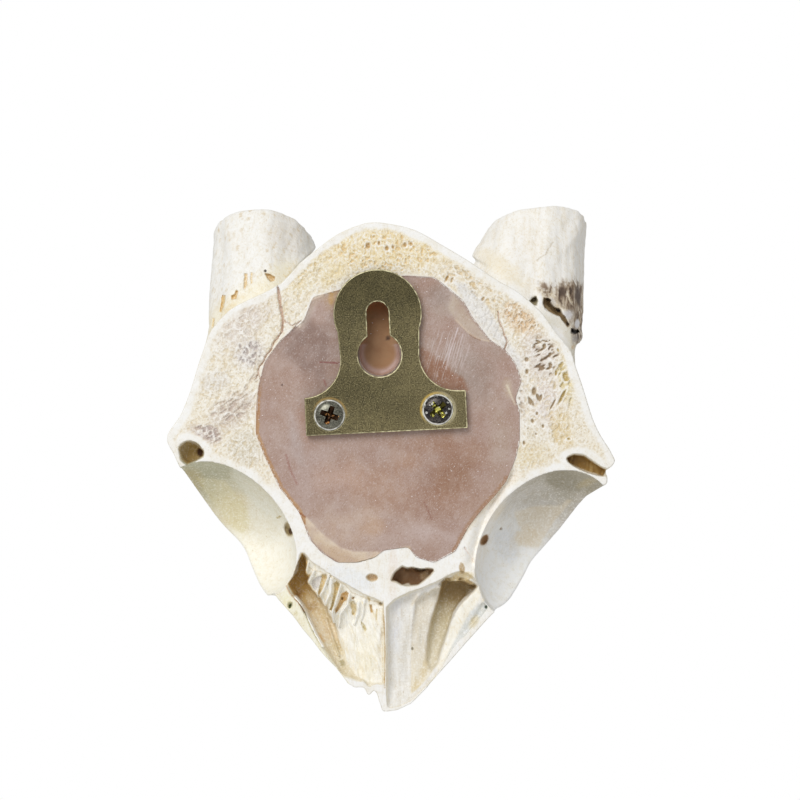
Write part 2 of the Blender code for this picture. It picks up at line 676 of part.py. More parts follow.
def build_horn(side):
    """A horn core: it stands on its pedicle with a flat joint, and is sawn off square above."""
    horn = horn_shaft("horn_core_" + side, side, HORN_STATIONS)
    grown = grow(OUTLINE_CURVE, GAP)
    cut(horn, mound("cap", grown, SAW_Y - GAP, lambda x, z, ring: outer_height(x, z) + GAP, DOME_RINGS))
    for key, opening in OPENINGS.items():
        if key.startswith("horn_") and key.endswith(side):
            cut(horn, ball(key, opening["centre"], opening["radii"], opening["turn"], 16, 10))
    horn = largest_body(horn)
    dress(horn, "horn_bone")


def plate_point(u, v):
    """A place on the hanger plate, as x and z."""
    x = PLATE_FOOT[0] + u * math.cos(PLATE_TURN) - v * math.sin(PLATE_TURN)
    z = PLATE_FOOT[1] + u * math.sin(PLATE_TURN) + v * math.cos(PLATE_TURN)
    return x, z


def arc(centre, radius, start, end, steps):
    """Points along an arc, with its angles in degrees."""
    angles = np.radians(np.linspace(start, end, steps))
    return [(centre[0] + radius * math.cos(a), centre[1] + radius * math.sin(a)) for a in angles]


def plate_outline():
    """Straight foot, hollow shoulders and a round head."""
    points = [(-PLATE_HALF_WIDTH, 0.0), (PLATE_HALF_WIDTH, 0.0), (PLATE_HALF_WIDTH, PLATE_BASE_HEIGHT)]
    points += arc((NECK_U + FLARE_U, FLARE_V), FLARE_RADIUS, 268, 172, 12)
    points += arc((NECK_U, PLATE_HEAD_V), PLATE_HEAD_RADIUS, -22, 202, 30)
    points += arc((NECK_U - FLARE_U, FLARE_V), FLARE_RADIUS, 8, -88, 12)
    points += [(-PLATE_HALF_WIDTH, PLATE_BASE_HEIGHT)]
    return [plate_point(u, v) for u, v in points]


def keyhole_outline(hole_radius, slot_half, slot_top):
    """A round hole with a round-ended slot above it."""
    meet = math.degrees(math.asin(min(slot_half / hole_radius, 0.999)))
    points = arc((NECK_U, KEYHOLE_V), hole_radius, 90 + meet, 450 - meet, 26)
    points += arc((NECK_U, slot_top - slot_half), slot_half, 0, 180, 11)
    return [plate_point(u, v) for u, v in points]


def screw_places():
    return [plate_point(u, SCREW_V) for u in SCREW_U]


def rod(name, x, z, radius, low, high, sides=20):
    return prism(name, arc((x, z), radius, 0, 360 * (sides - 1) / sides, sides), low, high)


def turned(name, x, z, profile):
    """A solid turned about an axis along Y, from places given as (radius, y)."""
    bm = bmesh.new()
    verts = [bm.verts.new((x + reach, y, z)) for reach, y in profile]
    for first, second in zip(verts, verts[1:]):
        bm.edges.new((first, second))
    bmesh.ops.spin(bm, geom=bm.verts[:] + bm.edges[:], cent=(x, 0, z), axis=(0, 1, 0),
                   angle=2 * math.pi, steps=SCREW_SIDES, use_duplicate=False)
    return object_from_bmesh(name, bm)


def build_plate():
    """A flat plate with its keyhole and two countersunk screw holes."""
    plate = prism("hanger_plate", plate_outline(), 0.0, PLATE_THICK)
    cut(plate, prism("keyhole", keyhole_outline(KEYHOLE_RADIUS, SLOT_HALF_WIDTH, SLOT_TOP_V),
                     BELOW, PLATE_THICK + 2), "MANIFOLD")
    sink = [(0.0, -0.5), (SINK_RADIUS + 0.5 * SINK_SLOPE, -0.5), (HOLE_RADIUS, SINK_DEPTH),
            (HOLE_RADIUS, PLATE_THICK + 1), (0.0, PLATE_THICK + 1)]
    for x, z in screw_places():
        cut(plate, turned("countersink", x, z, sink), "MANIFOLD")
    dress(plate, "brass", 25.0)


def build_screws():
    """Raised heads that sit in the countersinks, and plain shanks sunk in the resin."""
    profile = [(0.0, SCREW_LENGTH), (SCREW_SHANK_RADIUS * 0.4, SCREW_LENGTH - 0.6),
               (SCREW_SHANK_RADIUS, SCREW_LENGTH - 4.0), (SCREW_SHANK_RADIUS, SCREW_NECK),
               (SCREW_HEAD_RADIUS, -SCREW_HEAD_EDGE), (SCREW_HEAD_RADIUS, -SCREW_HEAD_EDGE - 0.4),
               (SCREW_HEAD_RADIUS * 0.8, -SCREW_HEAD_RISE + 0.15), (0.0, -SCREW_HEAD_RISE - 0.1)]
    for side, (x, z) in zip(("left", "right"), screw_places()):
        screw = turned("screw_" + side, x, z, profile)
        turn = RECESS_TURNS[side]
        for quarter in (0, 90):
            arm = prism("recess", [(-RECESS_ARM, -RECESS_WIDTH / 2), (RECESS_ARM, -RECESS_WIDTH / 2),
                                   (RECESS_ARM, RECESS_WIDTH / 2), (-RECESS_ARM, RECESS_WIDTH / 2)],
                        BELOW, -SCREW_HEAD_RISE + RECESS_DEPTH)
            spin = Matrix.Rotation(math.radians(turn + quarter), 4, "Y")
            arm.data.transform(Matrix.Translation((x * MM, 0, z * MM)) @ spin)
            cut(screw, arm)
        screw = largest_body(screw)
        dress(screw, "zinc", 25.0)


def build_filling():
    """Resin that fills the brain cavity, with a pocket behind the keyhole."""
    curve = grow(smooth_loop(BRAIN, 1), -GAP)
    fill = mound("braincase_fill", curve, SAW_Y,
                 lambda x, z, ring: brain_height(BRAIN_DEPTH - GAP, x, z, ring) - 0.3, BRAIN_RINGS)
    pocket = keyhole_outline(POCKET_RADIUS, POCKET_RADIUS * 0.98, SLOT_TOP_V + 1.8)
    cut(fill, prism("pocket", pocket, BELOW, SAW_Y + POCKET_DEPTH))
    for x, z in screw_places():
        cut(fill, rod("hole", x, z, SCREW_SHANK_RADIUS + GAP, BELOW, SCREW_LENGTH + GAP, 14))
    dress(fill, "resin")


def main():
    clear_scene()
    part_cap(build_cap())
    build_sieve()
    dress(septum("nasal_septum", 0.0), "thin_bone")
    for side in ("left", "right"):
        build_horn(side)
    build_filling()
    build_plate()
    build_screws()


main()
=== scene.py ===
# %% [markdown]
# # Skull cap of a small antelope
# The CAD model gives each bone, the resin, the hanger plate and its screws at their real sizes.
# This notebook gives them the looks: grown-together bone with open spongy edges, dry porous horn
# cores, sanded resin and aged brass. Everything is in metres, +Z is up as the piece hangs, and
# the sawn back faces -Y, towards the camera.

# %% The frame
import math

import bpy
import numpy as np
from mathutils import Matrix, Vector, kdtree
from mathutils.bvhtree import BVHTree


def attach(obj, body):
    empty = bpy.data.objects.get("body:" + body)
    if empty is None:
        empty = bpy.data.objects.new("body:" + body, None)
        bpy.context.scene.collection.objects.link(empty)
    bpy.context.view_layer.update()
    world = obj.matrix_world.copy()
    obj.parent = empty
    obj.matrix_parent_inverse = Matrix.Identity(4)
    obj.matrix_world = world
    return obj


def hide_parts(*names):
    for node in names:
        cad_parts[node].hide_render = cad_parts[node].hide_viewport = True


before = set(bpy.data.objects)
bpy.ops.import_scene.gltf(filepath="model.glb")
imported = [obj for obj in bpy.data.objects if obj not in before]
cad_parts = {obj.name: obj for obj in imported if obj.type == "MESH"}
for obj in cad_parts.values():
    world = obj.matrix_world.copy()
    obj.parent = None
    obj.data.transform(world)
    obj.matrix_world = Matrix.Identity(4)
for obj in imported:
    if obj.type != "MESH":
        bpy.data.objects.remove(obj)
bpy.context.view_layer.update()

MM = 0.001

# %% [markdown]
# ## Camera
# The photograph looks square at the sawn back from about sixty centimetres. A point seen at
# (x, z) on the saw plane is a line of sight, so `seen` gives, for any point in space, where it
# shows on that plane. Details that were read off the photograph are placed with it.

# %% The camera
SAW_Y = 1.8 * MM
PHOTO_CENTRE = 2.2
EYE = Vector((PHOTO_CENTRE * MM, -600.0 * MM, PHOTO_CENTRE * MM))
VIEW_WIDTH = 177.6 * MM
camera_data = bpy.data.cameras.new("camera")
camera = bpy.data.objects.new("camera", camera_data)
bpy.context.collection.objects.link(camera)
camera.location = EYE
camera.rotation_euler = (math.radians(90), 0, 0)
camera_data.angle = 2 * math.atan(VIEW_WIDTH / 2 / (SAW_Y - EYE.y))
camera_data.clip_start = 0.01
camera_data.clip_end = 20.0
bpy.context.scene.camera = camera
print("field of view:", round(math.degrees(camera_data.angle), 2), "degrees")


def seen(points):
    """Where points in space show on the saw plane, in millimetres."""
    share = (SAW_Y - EYE.y) / (points[:, 1] - EYE.y)
    return np.stack([EYE.x + (points[:, 0] - EYE.x) * share,
                     EYE.z + (points[:, 2] - EYE.z) * share], axis=1) / MM


# %% [markdown]
# ## Floor and light
# The cap hangs, so a round pale floor lies a little below its nose. The sky looks white to the
# camera, like paper behind the object, and gives an even fill light. One large softbox beside
# the camera, up on the left, gives the bone its shape.

# %% The floor and the light
FLOOR_Z = -0.155
FLOOR_RADIUS = 0.36
KEY_POWER = 6.6
SKY_LIGHT = 0.50
bpy.ops.mesh.primitive_circle_add(vertices=96, radius=FLOOR_RADIUS, fill_type="NGON",
                                  location=(0, 0, FLOOR_Z))
floor = bpy.context.active_object
floor.name = "floor"
floor_material = bpy.data.materials.new("floor_white")
floor_material.use_nodes = True
floor_shader = floor_material.node_tree.nodes["Principled BSDF"]
floor_shader.inputs["Base Color"].default_value = (0.97, 0.97, 0.97, 1)
floor_shader.inputs["Roughness"].default_value = 1.0
floor_shader.inputs["Specular IOR Level"].default_value = 0.0
floor.data.materials.append(floor_material)

sky = bpy.data.worlds.new("sky")
sky.use_nodes = True
paper = sky.node_tree.nodes["Background"]
paper.inputs["Color"].default_value = (1, 1, 1, 1)
to_camera = sky.node_tree.nodes.new("ShaderNodeLightPath")
strength = sky.node_tree.nodes.new("ShaderNodeMapRange")
strength.inputs["To Min"].default_value = SKY_LIGHT
strength.inputs["To Max"].default_value = 1.0
sky.node_tree.links.new(to_camera.outputs["Is Camera Ray"], strength.inputs["Value"])
sky.node_tree.links.new(strength.outputs["Result"], paper.inputs["Strength"])
bpy.context.scene.world = sky

LAMP_PLACE = Vector((-0.38, -0.85, 0.58))
lamp_data = bpy.data.lights.new("key_lamp", "AREA")
lamp_data.size = 0.6
lamp_data.energy = KEY_POWER
lamp = bpy.data.objects.new("key_lamp", lamp_data)
bpy.context.collection.objects.link(lamp)
lamp.location = LAMP_PLACE
lamp.rotation_euler = (-LAMP_PLACE).to_track_quat("-Z", "Y").to_euler()
bpy.context.scene.view_settings.view_transform = "Standard"
print("lamps and floor are set")

# %% [markdown]
# ## Helpers for modelling
# An operator acts on all that is selected, so `only` clears the selection first. `copy_of`
# copies CAD nodes, because the nodes themselves are never changed, and merges their loose
# triangles.

# %% Helpers for modelling
def only(*pieces):
    """Select these objects and nothing else."""
    bpy.ops.object.select_all(action="DESELECT")
    for piece in pieces:
        piece.select_set(True)
    bpy.context.view_layer.objects.active = pieces[0]


def copy_of(name, *nodes):
    """One new mesh object made of copies of CAD nodes."""
    copies = []
    for node in nodes:
        piece = bpy.data.objects.new(name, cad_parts[node].data.copy())
        bpy.context.collection.objects.link(piece)
        copies.append(piece)
    only(*copies)
    if len(copies) > 1:
        bpy.ops.object.join()
    piece = bpy.context.active_object
    piece.name = name
    bpy.ops.object.mode_set(mode="EDIT")
    bpy.ops.mesh.select_all(action="SELECT")
    bpy.ops.mesh.remove_doubles(threshold=0.002 * MM)
    bpy.ops.object.mode_set(mode="OBJECT")
    bpy.ops.mesh.customdata_custom_splitnormals_clear()
    piece.data.materials.clear()
    return piece


def finish_with(piece, kind, **settings):
    """Add one modifier and apply it."""
    only(piece)
    modifier = piece.modifiers.new(kind.lower(), kind)
    for key, value in settings.items():
        setattr(modifier, key, value)
    bpy.ops.object.modifier_apply(modifier=modifier.name)


def places(piece):
    """The vertices' places as an array."""
    values = np.empty(len(piece.data.vertices) * 3)
    piece.data.vertices.foreach_get("co", values)
    return values.reshape(-1, 3)


def directions(piece):
    """The vertices' normals as an array."""
    values = np.empty(len(piece.data.vertices) * 3)
    piece.data.vertex_normals.foreach_get("vector", values)
    return values.reshape(-1, 3)


def move_to(piece, points):
    """Put the vertices at new places."""
    piece.data.vertices.foreach_set("co", points.ravel())
    piece.data.update()


def edges_of(piece):
    """The two vertex numbers of each edge."""
    values = np.empty(len(piece.data.edges) * 2, dtype=int)
    piece.data.edges.foreach_get("vertices", values)
    return values.reshape(-1, 2)


def keep_value(piece, name, values):
    """Store one number for each vertex, for a material to read."""
    layer = piece.data.attributes.get(name) or piece.data.attributes.new(name, "FLOAT", "POINT")
    layer.data.foreach_set("value", np.asarray(values, dtype=np.float32))


def step(low, high, values):
    """A soft step from 0 at low to 1 at high."""
    share = np.clip((values - low) / (high - low), 0, 1)
    return share * share * (3 - 2 * share)


print("helpers for modelling are ready")

# %% [markdown]
# ## Noise
# Bone is made of cells, so its texture is cellular noise: each square of a grid holds one
# random point, and the distance to the nearest point is small in a pore and large on the wall
# between two pores. Smooth noise, of random values on a grid, bends and mixes the rest.

# %% Noise
def scramble(*whole):
    """A repeatable number from 0 to 1 for each grid place."""
    total = np.zeros(whole[0].shape)
    for number, factor in zip(whole, (12.9898, 78.233, 37.719, 9.151)):
        total = total + number * factor
    value = np.sin(total) * 43758.5453
    return value - np.floor(value)


def cells(across, along, seed=0.0):
    """Distance to the nearest cell point, and that cell's number."""
    left, low = np.floor(across), np.floor(along)
    first = np.full(across.shape, 9.0)
    number = np.zeros(across.shape)
    for i in (-1, 0, 1):
        for j in (-1, 0, 1):
            x, y = left + i, low + j
            dx = x + 0.12 + 0.76 * scramble(x, y, x * 0 + seed) - across
            dy = y + 0.12 + 0.76 * scramble(x, y, x * 0 + seed + 17.3) - along
            far = np.hypot(dx, dy)
            closer = far < first
            number = np.where(closer, scramble(x, y, x * 0 + seed + 41.7), number)
            first = np.where(closer, far, first)
    return first, number


def cloud(points, size, seed=0.0, octaves=3):
    """Smooth noise from about -1 to 1, with features of about the given size."""
    total = np.zeros(len(points))
    strength = 1.0
    reach = 0.0
    for octave in range(octaves):
        spot = points / size * 2 ** octave + seed * 3.7
        base = np.floor(spot)
        part = spot - base
        part = part * part * (3 - 2 * part)
        value = np.zeros(len(points))
        for i in (0, 1):
            for j in (0, 1):
                for k in (0, 1):
                    corner = scramble(base[:, 0] + i, base[:, 1] + j, base[:, 2] + k,
                                      np.full(len(points), seed + octave))
                    weight = (np.abs(1 - i - part[:, 0]) * np.abs(1 - j - part[:, 1])
                              * np.abs(1 - k - part[:, 2]))
                    value += corner * weight
        total += (value * 2 - 1) * strength
        reach += strength
        strength *= 0.5
    return total / reach


print("noise is ready")

# %% [markdown]
# ## The bone
# On the real cap the bones are grown together: only fine sutures show. The CAD has them as
# separate solids with thin gaps. Growing the copies a little closes the gaps, a voxel remesh
# fuses them into one even skin, and shrinking by the same amount brings the size back.

# %% The fused bone
BONES = ["frontal_left", "frontal_right", "parietal", "nasal_left", "nasal_right",
         "lacrimal_left", "lacrimal_right", "ethmoid", "nasal_septum",
         "horn_core_left", "horn_core_right"]
CLOSE_GAPS = 0.21 * MM
GRAIN = 0.34 * MM
bone = copy_of("bone", *BONES)
finish_with(bone, "DISPLACE", strength=CLOSE_GAPS, mid_level=0.0)
finish_with(bone, "REMESH", mode="VOXEL", voxel_size=GRAIN)
finish_with(bone, "SMOOTH", factor=0.5, iterations=4)
finish_with(bone, "DISPLACE", strength=-CLOSE_GAPS, mid_level=0.0)
print("fused bone:", len(bone.data.vertices), "vertices")

# %% [markdown]
# ## Places on the saw plane
# Details are placed by where they show from the camera, in millimetres on the saw plane. These
# helpers measure how far each point of a mesh shows from a line, an outline or an oval there.

# %% Measuring on the saw plane
PHOTO_MM = 0.222
PHOTO_MIDDLE = 400


def px(x, z):
    """A place on the saw plane in millimetres, from a place in the photograph's frame."""
    return (x - PHOTO_MIDDLE) * PHOTO_MM + PHOTO_CENTRE, (PHOTO_MIDDLE - z) * PHOTO_MM + PHOTO_CENTRE


def line(*numbers):
    """The places of a line or an outline, from their x and z numbers in turn."""
    return [px(x, z) for x, z in zip(numbers[::2], numbers[1::2])]


def nearest(points, targets):
    """Distance from each point to the nearest target, in millimetres."""
    tree = kdtree.KDTree(len(targets))
    for index, target in enumerate(targets):
        tree.insert(target, index)
    tree.balance()
    return np.array([tree.find(point)[2] for point in points]) / MM


def from_line(where, path):
    """Distance in millimetres from places on the saw plane to a line of points."""
    best = np.full(len(where), 1e9)
    for (ax, az), (bx, bz) in zip(path, path[1:]):
        along = np.array([bx - ax, bz - az])
        length = max(along @ along, 1e-9)
        share = np.clip(((where[:, 0] - ax) * along[0] + (where[:, 1] - az) * along[1]) / length, 0, 1)
        best = np.minimum(best, np.hypot(where[:, 0] - ax - share * along[0],
                                         where[:, 1] - az - share * along[1]))
    return best


def inside(where, outline):
    """Whether places on the saw plane lie inside a closed outline."""
    result = np.zeros(len(where), dtype=bool)
    for (ax, az), (bx, bz) in zip(outline, outline[1:] + outline[:1]):
        crosses = (az > where[:, 1]) != (bz > where[:, 1])
        side = where[:, 0] < (bx - ax) * (where[:, 1] - az) / (bz - az + 1e-12) + ax
        result ^= crosses & side
    return result


def stroke(where, path, half, soft=0.35):
    """1 on a line whose half width changes from its start to its end, in photograph widths."""
    best = np.zeros(len(where))
    total = sum(math.dist(start, end) for start, end in zip(path, path[1:]))
    done = 0.0
    for start, end in zip(path, path[1:]):
        along = np.subtract(end, start)
        share = np.clip((where - start) @ along / (along @ along), 0, 1)
        far = np.hypot(*(where - start - share[:, None] * along).T)
        run = (done + share * math.dist(start, end)) / total
        done += math.dist(start, end)
        width = (half[0] + (half[1] - half[0]) * run) * PHOTO_MM
        best = np.maximum(best, 1 - step(1 - soft, 1 + soft, far / width))
    return best


def area(where, outline, soft=0.25):
    """1 inside a closed outline and 0 outside, with an edge as soft as that many millimetres."""
    low = np.min(outline, axis=0) - 1.0
    high = np.max(outline, axis=0) + 1.0
    near = np.all((where > low) & (where < high), axis=1)
    values = np.zeros(len(where))
    spots = where[near]
    far = from_line(spots, outline + outline[:1]) * np.where(inside(spots, outline), 1, -1)
    values[near] = step(-soft, soft, far)
    return values


def oval(where, centre, radii, turn=0.0):
    """Distance from an oval's centre, where 1 is its edge. The turn is anticlockwise in degrees."""
    angle = math.radians(turn)
    dx, dz = where[:, 0] - centre[0], where[:, 1] - centre[1]
    return np.hypot((dx * math.cos(angle) + dz * math.sin(angle)) / radii[0],
                    (dz * math.cos(angle) - dx * math.sin(angle)) / radii[1])


def photo_oval(where, spot, half, turn=0.0, scale=PHOTO_MM):
    """The same, with the centre and the half widths in the photograph's frame."""
    return oval(where, px(*spot), (half[0] * scale, half[1] * scale), turn)


def tear(where, points, size, seeds, by):
    """Shift places by smooth noise, so that an outline laid on them has a torn edge."""
    return where + by * np.stack([cloud(points, size * MM, seed) for seed in seeds], axis=1)


print("one pixel of the photograph shows", PHOTO_MM, "mm")

# %% [markdown]
# ## Outlines in the nose
# The saw opened the chambers of the nose. On the left lies a deep brown chamber with a comb of
# thin fins and slots beside it, and on the right two troughs and a large chamber. Modelled wall
# by wall they would be dozens of small solids, so only their outlines are drawn here, as they
# show on the saw plane, and the next cell sculpts them.

# %% Outlines in the nose
LEFT_NOSE = line(
    302, 553, 308, 562, 322, 570, 336, 580, 350, 588, 362, 595, 374, 600, 382, 604, 383, 640, 383, 683,
    375, 683, 368, 681, 357, 680, 350, 677, 342, 675, 337, 667, 330, 657, 322, 645, 316, 635, 308.5, 619,
    300, 602, 293, 594, 288, 584, 298, 571, 300, 560)
COMB = line(
    304, 554, 308, 562, 306, 570, 308, 575, 311, 573, 308, 580, 308, 583, 311, 586, 313, 590, 316, 592,
    318, 598, 320, 595, 322, 601, 325, 606, 327, 604, 328, 612, 331, 617, 333, 623, 335, 623, 336, 628,
    339, 640, 344, 655, 350, 667, 357, 676, 366, 681, 375, 683, 382, 683, 382, 606, 374, 600, 362, 594,
    350, 587, 336, 579, 322, 569, 310, 561)
COMB_RIDGE = line(306, 559, 322, 569, 345, 583, 365, 594, 382, 603, 382, 690)
# Each slot: depth in millimetres, colour, the slot's tan with painted shade between the fins, and outline
SLOTS = [
    (0.7, (222, 217, 212), line(312.7, 579.6, 317.2, 576.6, 321.6, 575.8, 320.1, 581.8, 317.9, 587.8,
     316, 591.5, 313.4, 588, 311.4, 584)),
    (1.0, (222, 200, 150), line(322.4, 574.6, 325.9, 574.4, 327.2, 578, 324.8, 584, 321.2, 591.5, 318.5, 597,
     318.5, 591.5, 320.1, 584, 321.4, 578.8)),
    (1.1, (224, 204, 154), line(334.1, 583.3, 336.6, 581, 339.8, 584, 339, 589.5, 336, 596, 334.4, 604.2,
     331.3, 610.4, 329.4, 609.4, 332.0, 603.4, 333.4, 595.2, 334.5, 589.3)),
    (1.0, (222, 184, 120), line(341.6, 593.9, 346.3, 591.2, 348.7, 593.7, 346.5, 599.9, 342.7, 603.6,
     339, 609.6, 335.8, 613.3, 335.6, 609.4, 338.0, 603.4, 340.2, 598.2)),
    (0.9, (230, 212, 168), line(350.5, 602, 353.4, 600.9, 356.2, 605, 356.2, 610.3, 354.2, 615.6,
     352.4, 614.8, 352.0, 609.4, 350.6, 605.7)),
    (0.8, (196, 158, 100), line(352, 597, 354.2, 597, 354, 599.2, 352.2, 599)),
    (0.6, (222, 202, 156), line(366.8, 594.8, 368.6, 595, 370.2, 601, 368.8, 602)),
    (0.6, (210, 178, 124), line(369.4, 604.6, 371.6, 604.6, 373, 612.6, 371, 613)),
    (0.4, (226, 208, 164), line(376.0, 609, 377.2, 609, 377.1, 620, 376.2, 620)),
    (0.7, (210, 196, 152), line(360.6, 621.4, 363.2, 623.4, 366.4, 629.6, 365.6, 631.2, 362.6, 628)),
]
# Each fin: height in millimetres, half width at its start and end, and path
FINS = [
    (4.0, (1.2, 0.9), line(296, 597, 301.6, 603, 306.6, 611, 310, 620, 313.6, 628, 318, 637, 323, 646)),
    (0.9, (1.6, 1.0), line(326, 619, 330, 630, 333.4, 640, 339, 655)),
    (1.4, (1.6, 1.0), line(307.5, 562.4, 306.7, 572.8)),
    (1.2, (1.3, 1.0), line(314.2, 571.3, 308.4, 582)),
    (1.2, (1.2, 0.9), line(328.6, 575.6, 325.2, 586, 319.5, 597)),
    (1.0, (2.0, 1.2), line(331.5, 579, 330, 592, 325.5, 605)),
    (1.6, (1.2, 0.9), line(340.5, 585, 337.6, 596.7, 332.4, 611.6, 333.8, 622)),
    (1.3, (1.3, 0.9), line(349.5, 595, 347.3, 604.2, 340.8, 613, 338.8, 626)),
    (0.8, (1.6, 0.9), line(358.5, 602.7, 357.7, 613.1, 354.5, 624)),
    (0.6, (1.2, 0.8), line(364.5, 600, 363.5, 610, 361.5, 619)),
]
RIGHT_NOSE = line(
    388, 607, 396, 600, 411, 593, 424, 588, 436, 583, 446, 578, 454, 575, 463, 575, 472, 578, 480, 587,
    483, 598, 478, 612, 465, 632, 452, 648, 443, 663, 434, 677, 420, 691, 411, 700, 401, 705, 388, 708)
MIDDLE_TROUGH = line(
    416, 602, 424, 594, 434, 588, 443, 586, 440, 600, 434, 618, 431, 640, 432, 660, 432, 672, 424, 682,
    416, 690, 411, 694, 411, 680, 411, 650, 413, 625)
RIGHT_CHAMBER = line(
    442, 582, 447, 578, 455, 577, 466, 578, 474, 583, 477, 587, 473, 592, 464, 597, 458, 604, 453, 612,
    450, 622, 446, 636, 441, 650, 438, 664, 431, 672, 427, 660, 428, 640, 432, 618, 438, 600)
SIEVE_WINDOW = line(
    402, 567, 407, 569, 412, 567.6, 419, 570, 427, 569, 434, 569.6, 430, 575, 424, 580, 418, 584.5, 411, 585,
    408, 583, 402, 584.6, 396, 581, 391.5, 580.4, 395, 573)
NOTCH = line(447, 578, 453, 574, 461, 572, 470, 576, 476, 582, 470, 584, 461, 579, 449, 580)
LEFT_CORNER = line(179, 448, 187, 442, 196, 445, 203, 451, 203, 456, 196, 460, 187, 464, 182, 460, 180, 452)
RIGHT_CORNER = line(
    567, 458, 574, 455, 584, 456, 591, 461, 600, 467, 606, 470, 603, 476, 597, 474, 584, 470, 575, 466,
    569, 462)
print("drawn:", len(SLOTS), "slots and", len(FINS), "fins")

# %% [markdown]
# ## Hollows of the nose
# The hollows are sculpted as heights: each point that faces the camera inside an outline moves
# to that hollow's depth, but never so far that the wall behind gets thinner than real bone.
# Booleans would leave sharp edges there. The stretched walls get an even skin later.

# %% Hollows of the nose
THINNEST = 0.9 * MM


def thickness_limit(piece, spots):
    """How far back each point may go before the bone over it is thinner than THINNEST."""
    tree = BVHTree.FromObject(piece, bpy.context.evaluated_depsgraph_get())
    limits = []
    for x, y, z in spots:
        hit = tree.ray_cast(Vector((x, 0.08, z)), Vector((0, -1, 0)))[0]
        limits.append(hit.y - THINNEST if hit else y)
    return np.maximum(np.array(limits), SAW_Y)


def sink(points, mask, target, limits):
    """Move points towards a target height by a mask from 0 to 1, without cutting through."""
    goal = np.minimum(SAW_Y + target * MM, limits)
    points[:, 1] = points[:, 1] * (1 - mask) + goal * mask


def nose_points(points, normals):
    """The points of the nose that face the camera."""
    place = seen(points)
    in_nose = (place[:, 1] < -30.0) & (np.abs(place[:, 0]) < 26.0)
    return (normals[:, 1] < 0.35) & (points[:, 1] < 22 * MM) & in_nose


points = places(bone)
where = seen(points)
facing = (directions(bone)[:, 1] < 0.35) & (points[:, 1] < 22 * MM)
nose = nose_points(points, directions(bone))
spots = points[nose]
spot_where = where[nose]
limits = thickness_limit(bone, spots)
rough = cloud(spots * (1, 0, 1), 2.2 * MM, 8.0)
ripple = cloud(spots * (1, 0, 0.35), 0.9 * MM, 9.0)
down = -31.0 - spot_where[:, 1]
sink(spots, area(spot_where, LEFT_NOSE), 9.5 - 0.13 * down + 0.4 * rough, limits)
ridge_far = from_line(spot_where, COMB_RIDGE)
torn = spot_where + 0.16 * np.stack([rough, ripple], axis=1)
sink(spots, area(torn, COMB), 0.9 + 0.40 * ridge_far + 0.3 * rough + 0.4 * ripple, limits)
across = spot_where[:, 0]
bowl = 1.3 + 1.5 * step(8.5, 4.0, np.abs(across - px(400, 0)[0]) * 2) + 0.25 * ripple
sink(spots, area(spot_where, RIGHT_NOSE, 0.4), bowl, limits)
sink(spots, area(spot_where, MIDDLE_TROUGH, 0.5), 5.0 - 0.11 * down + 0.25 * ripple, limits)
sink(spots, area(spot_where, RIGHT_CHAMBER, 0.4), 11.0 - 0.27 * down + 0.4 * rough, limits)
sink(spots, area(spot_where, SIEVE_WINDOW), 4.5 + 0.3 * rough, limits)
sink(spots, area(torn, NOTCH), 2.2 + 1.2 * rough, limits)
sink(spots, 1 - step(0.7, 1.2, oval(spot_where, px(372, 577.5), (1.25, 0.7), -5)), 1.6, limits)
points[nose] = spots
SPLINTER = px(369, 689)
low_edge = step(-59.0, -61.5, points[:, 2] / MM) * (points[:, 0] > -12 * MM) * (points[:, 0] < -2.6 * MM)
chips = cloud(points * (1, 0.3, 0), 0.9 * MM, 14.0, 2)
points[:, 2] -= low_edge * 0.5 * chips * MM
spike = 1 - step(0.1, 1.1, np.abs(points[:, 0] / MM - SPLINTER[0]))
points[:, 2] -= step(-58.5, -62.5, points[:, 2] / MM) * spike * 1.5 * MM
for outline, target in ((LEFT_CORNER, 5.5), (RIGHT_CORNER, 3.6)):
    mask = area(where, outline) * facing
    points[:, 1] = points[:, 1] * (1 - mask) + (SAW_Y + target * MM) * mask
move_to(bone, points)
print("nose hollows sculpted from", len(spots), "points")

# %% [markdown]
# ## Holes for nerves and vessels
# Nerves and vessels leave the bone through small round holes in the eye sockets and at the tear
# bones. They are pressed in as ovals with an uneven edge, a way behind the saw cut.

# %% Holes for nerves and vessels
# Each hole: name, place, half sizes, turn, depth, distance behind the saw cut, and colour, a tan rim with
# painted shade deeper in
SMALL_HOLES = [
    ("left socket, inner", (289, 529), (4.4, 7.6), 14, 3.0, 0.8, (166, 146, 102)),
    ("left socket, pit", (291, 531), (2.6, 3.4), 0, 1.0, 0.8, (84, 62, 44)),
    ("left socket, slit", (279, 517), (3.0, 1.0), 20, 0.7, 3.0, (186, 166, 110)),
    ("right socket, inner", (484, 540), (3.4, 6.0), -28, 2.4, 0.8, (150, 112, 74)),
    ("right socket, small", (501, 529), (1.4, 1.4), 0, 1.2, 3.0, (150, 136, 116)),
    ("left tear hole", (290, 606), (1.6, 2.8), -20, 2.2, 0.0, (84, 88, 50)),
    ("right tear hole", (486, 607), (1.6, 1.8), 0, 1.6, 0.0, (60, 72, 56)),
    ("trough pore", (412.3, 648.6), (1.5, 1.8), 0, 1.5, 0.0, (138, 130, 108)),
    ("left horn dot", (265.3, 270.9), (1.4, 1.4), 0, 2.0, 18.0, (80, 72, 66)),
]
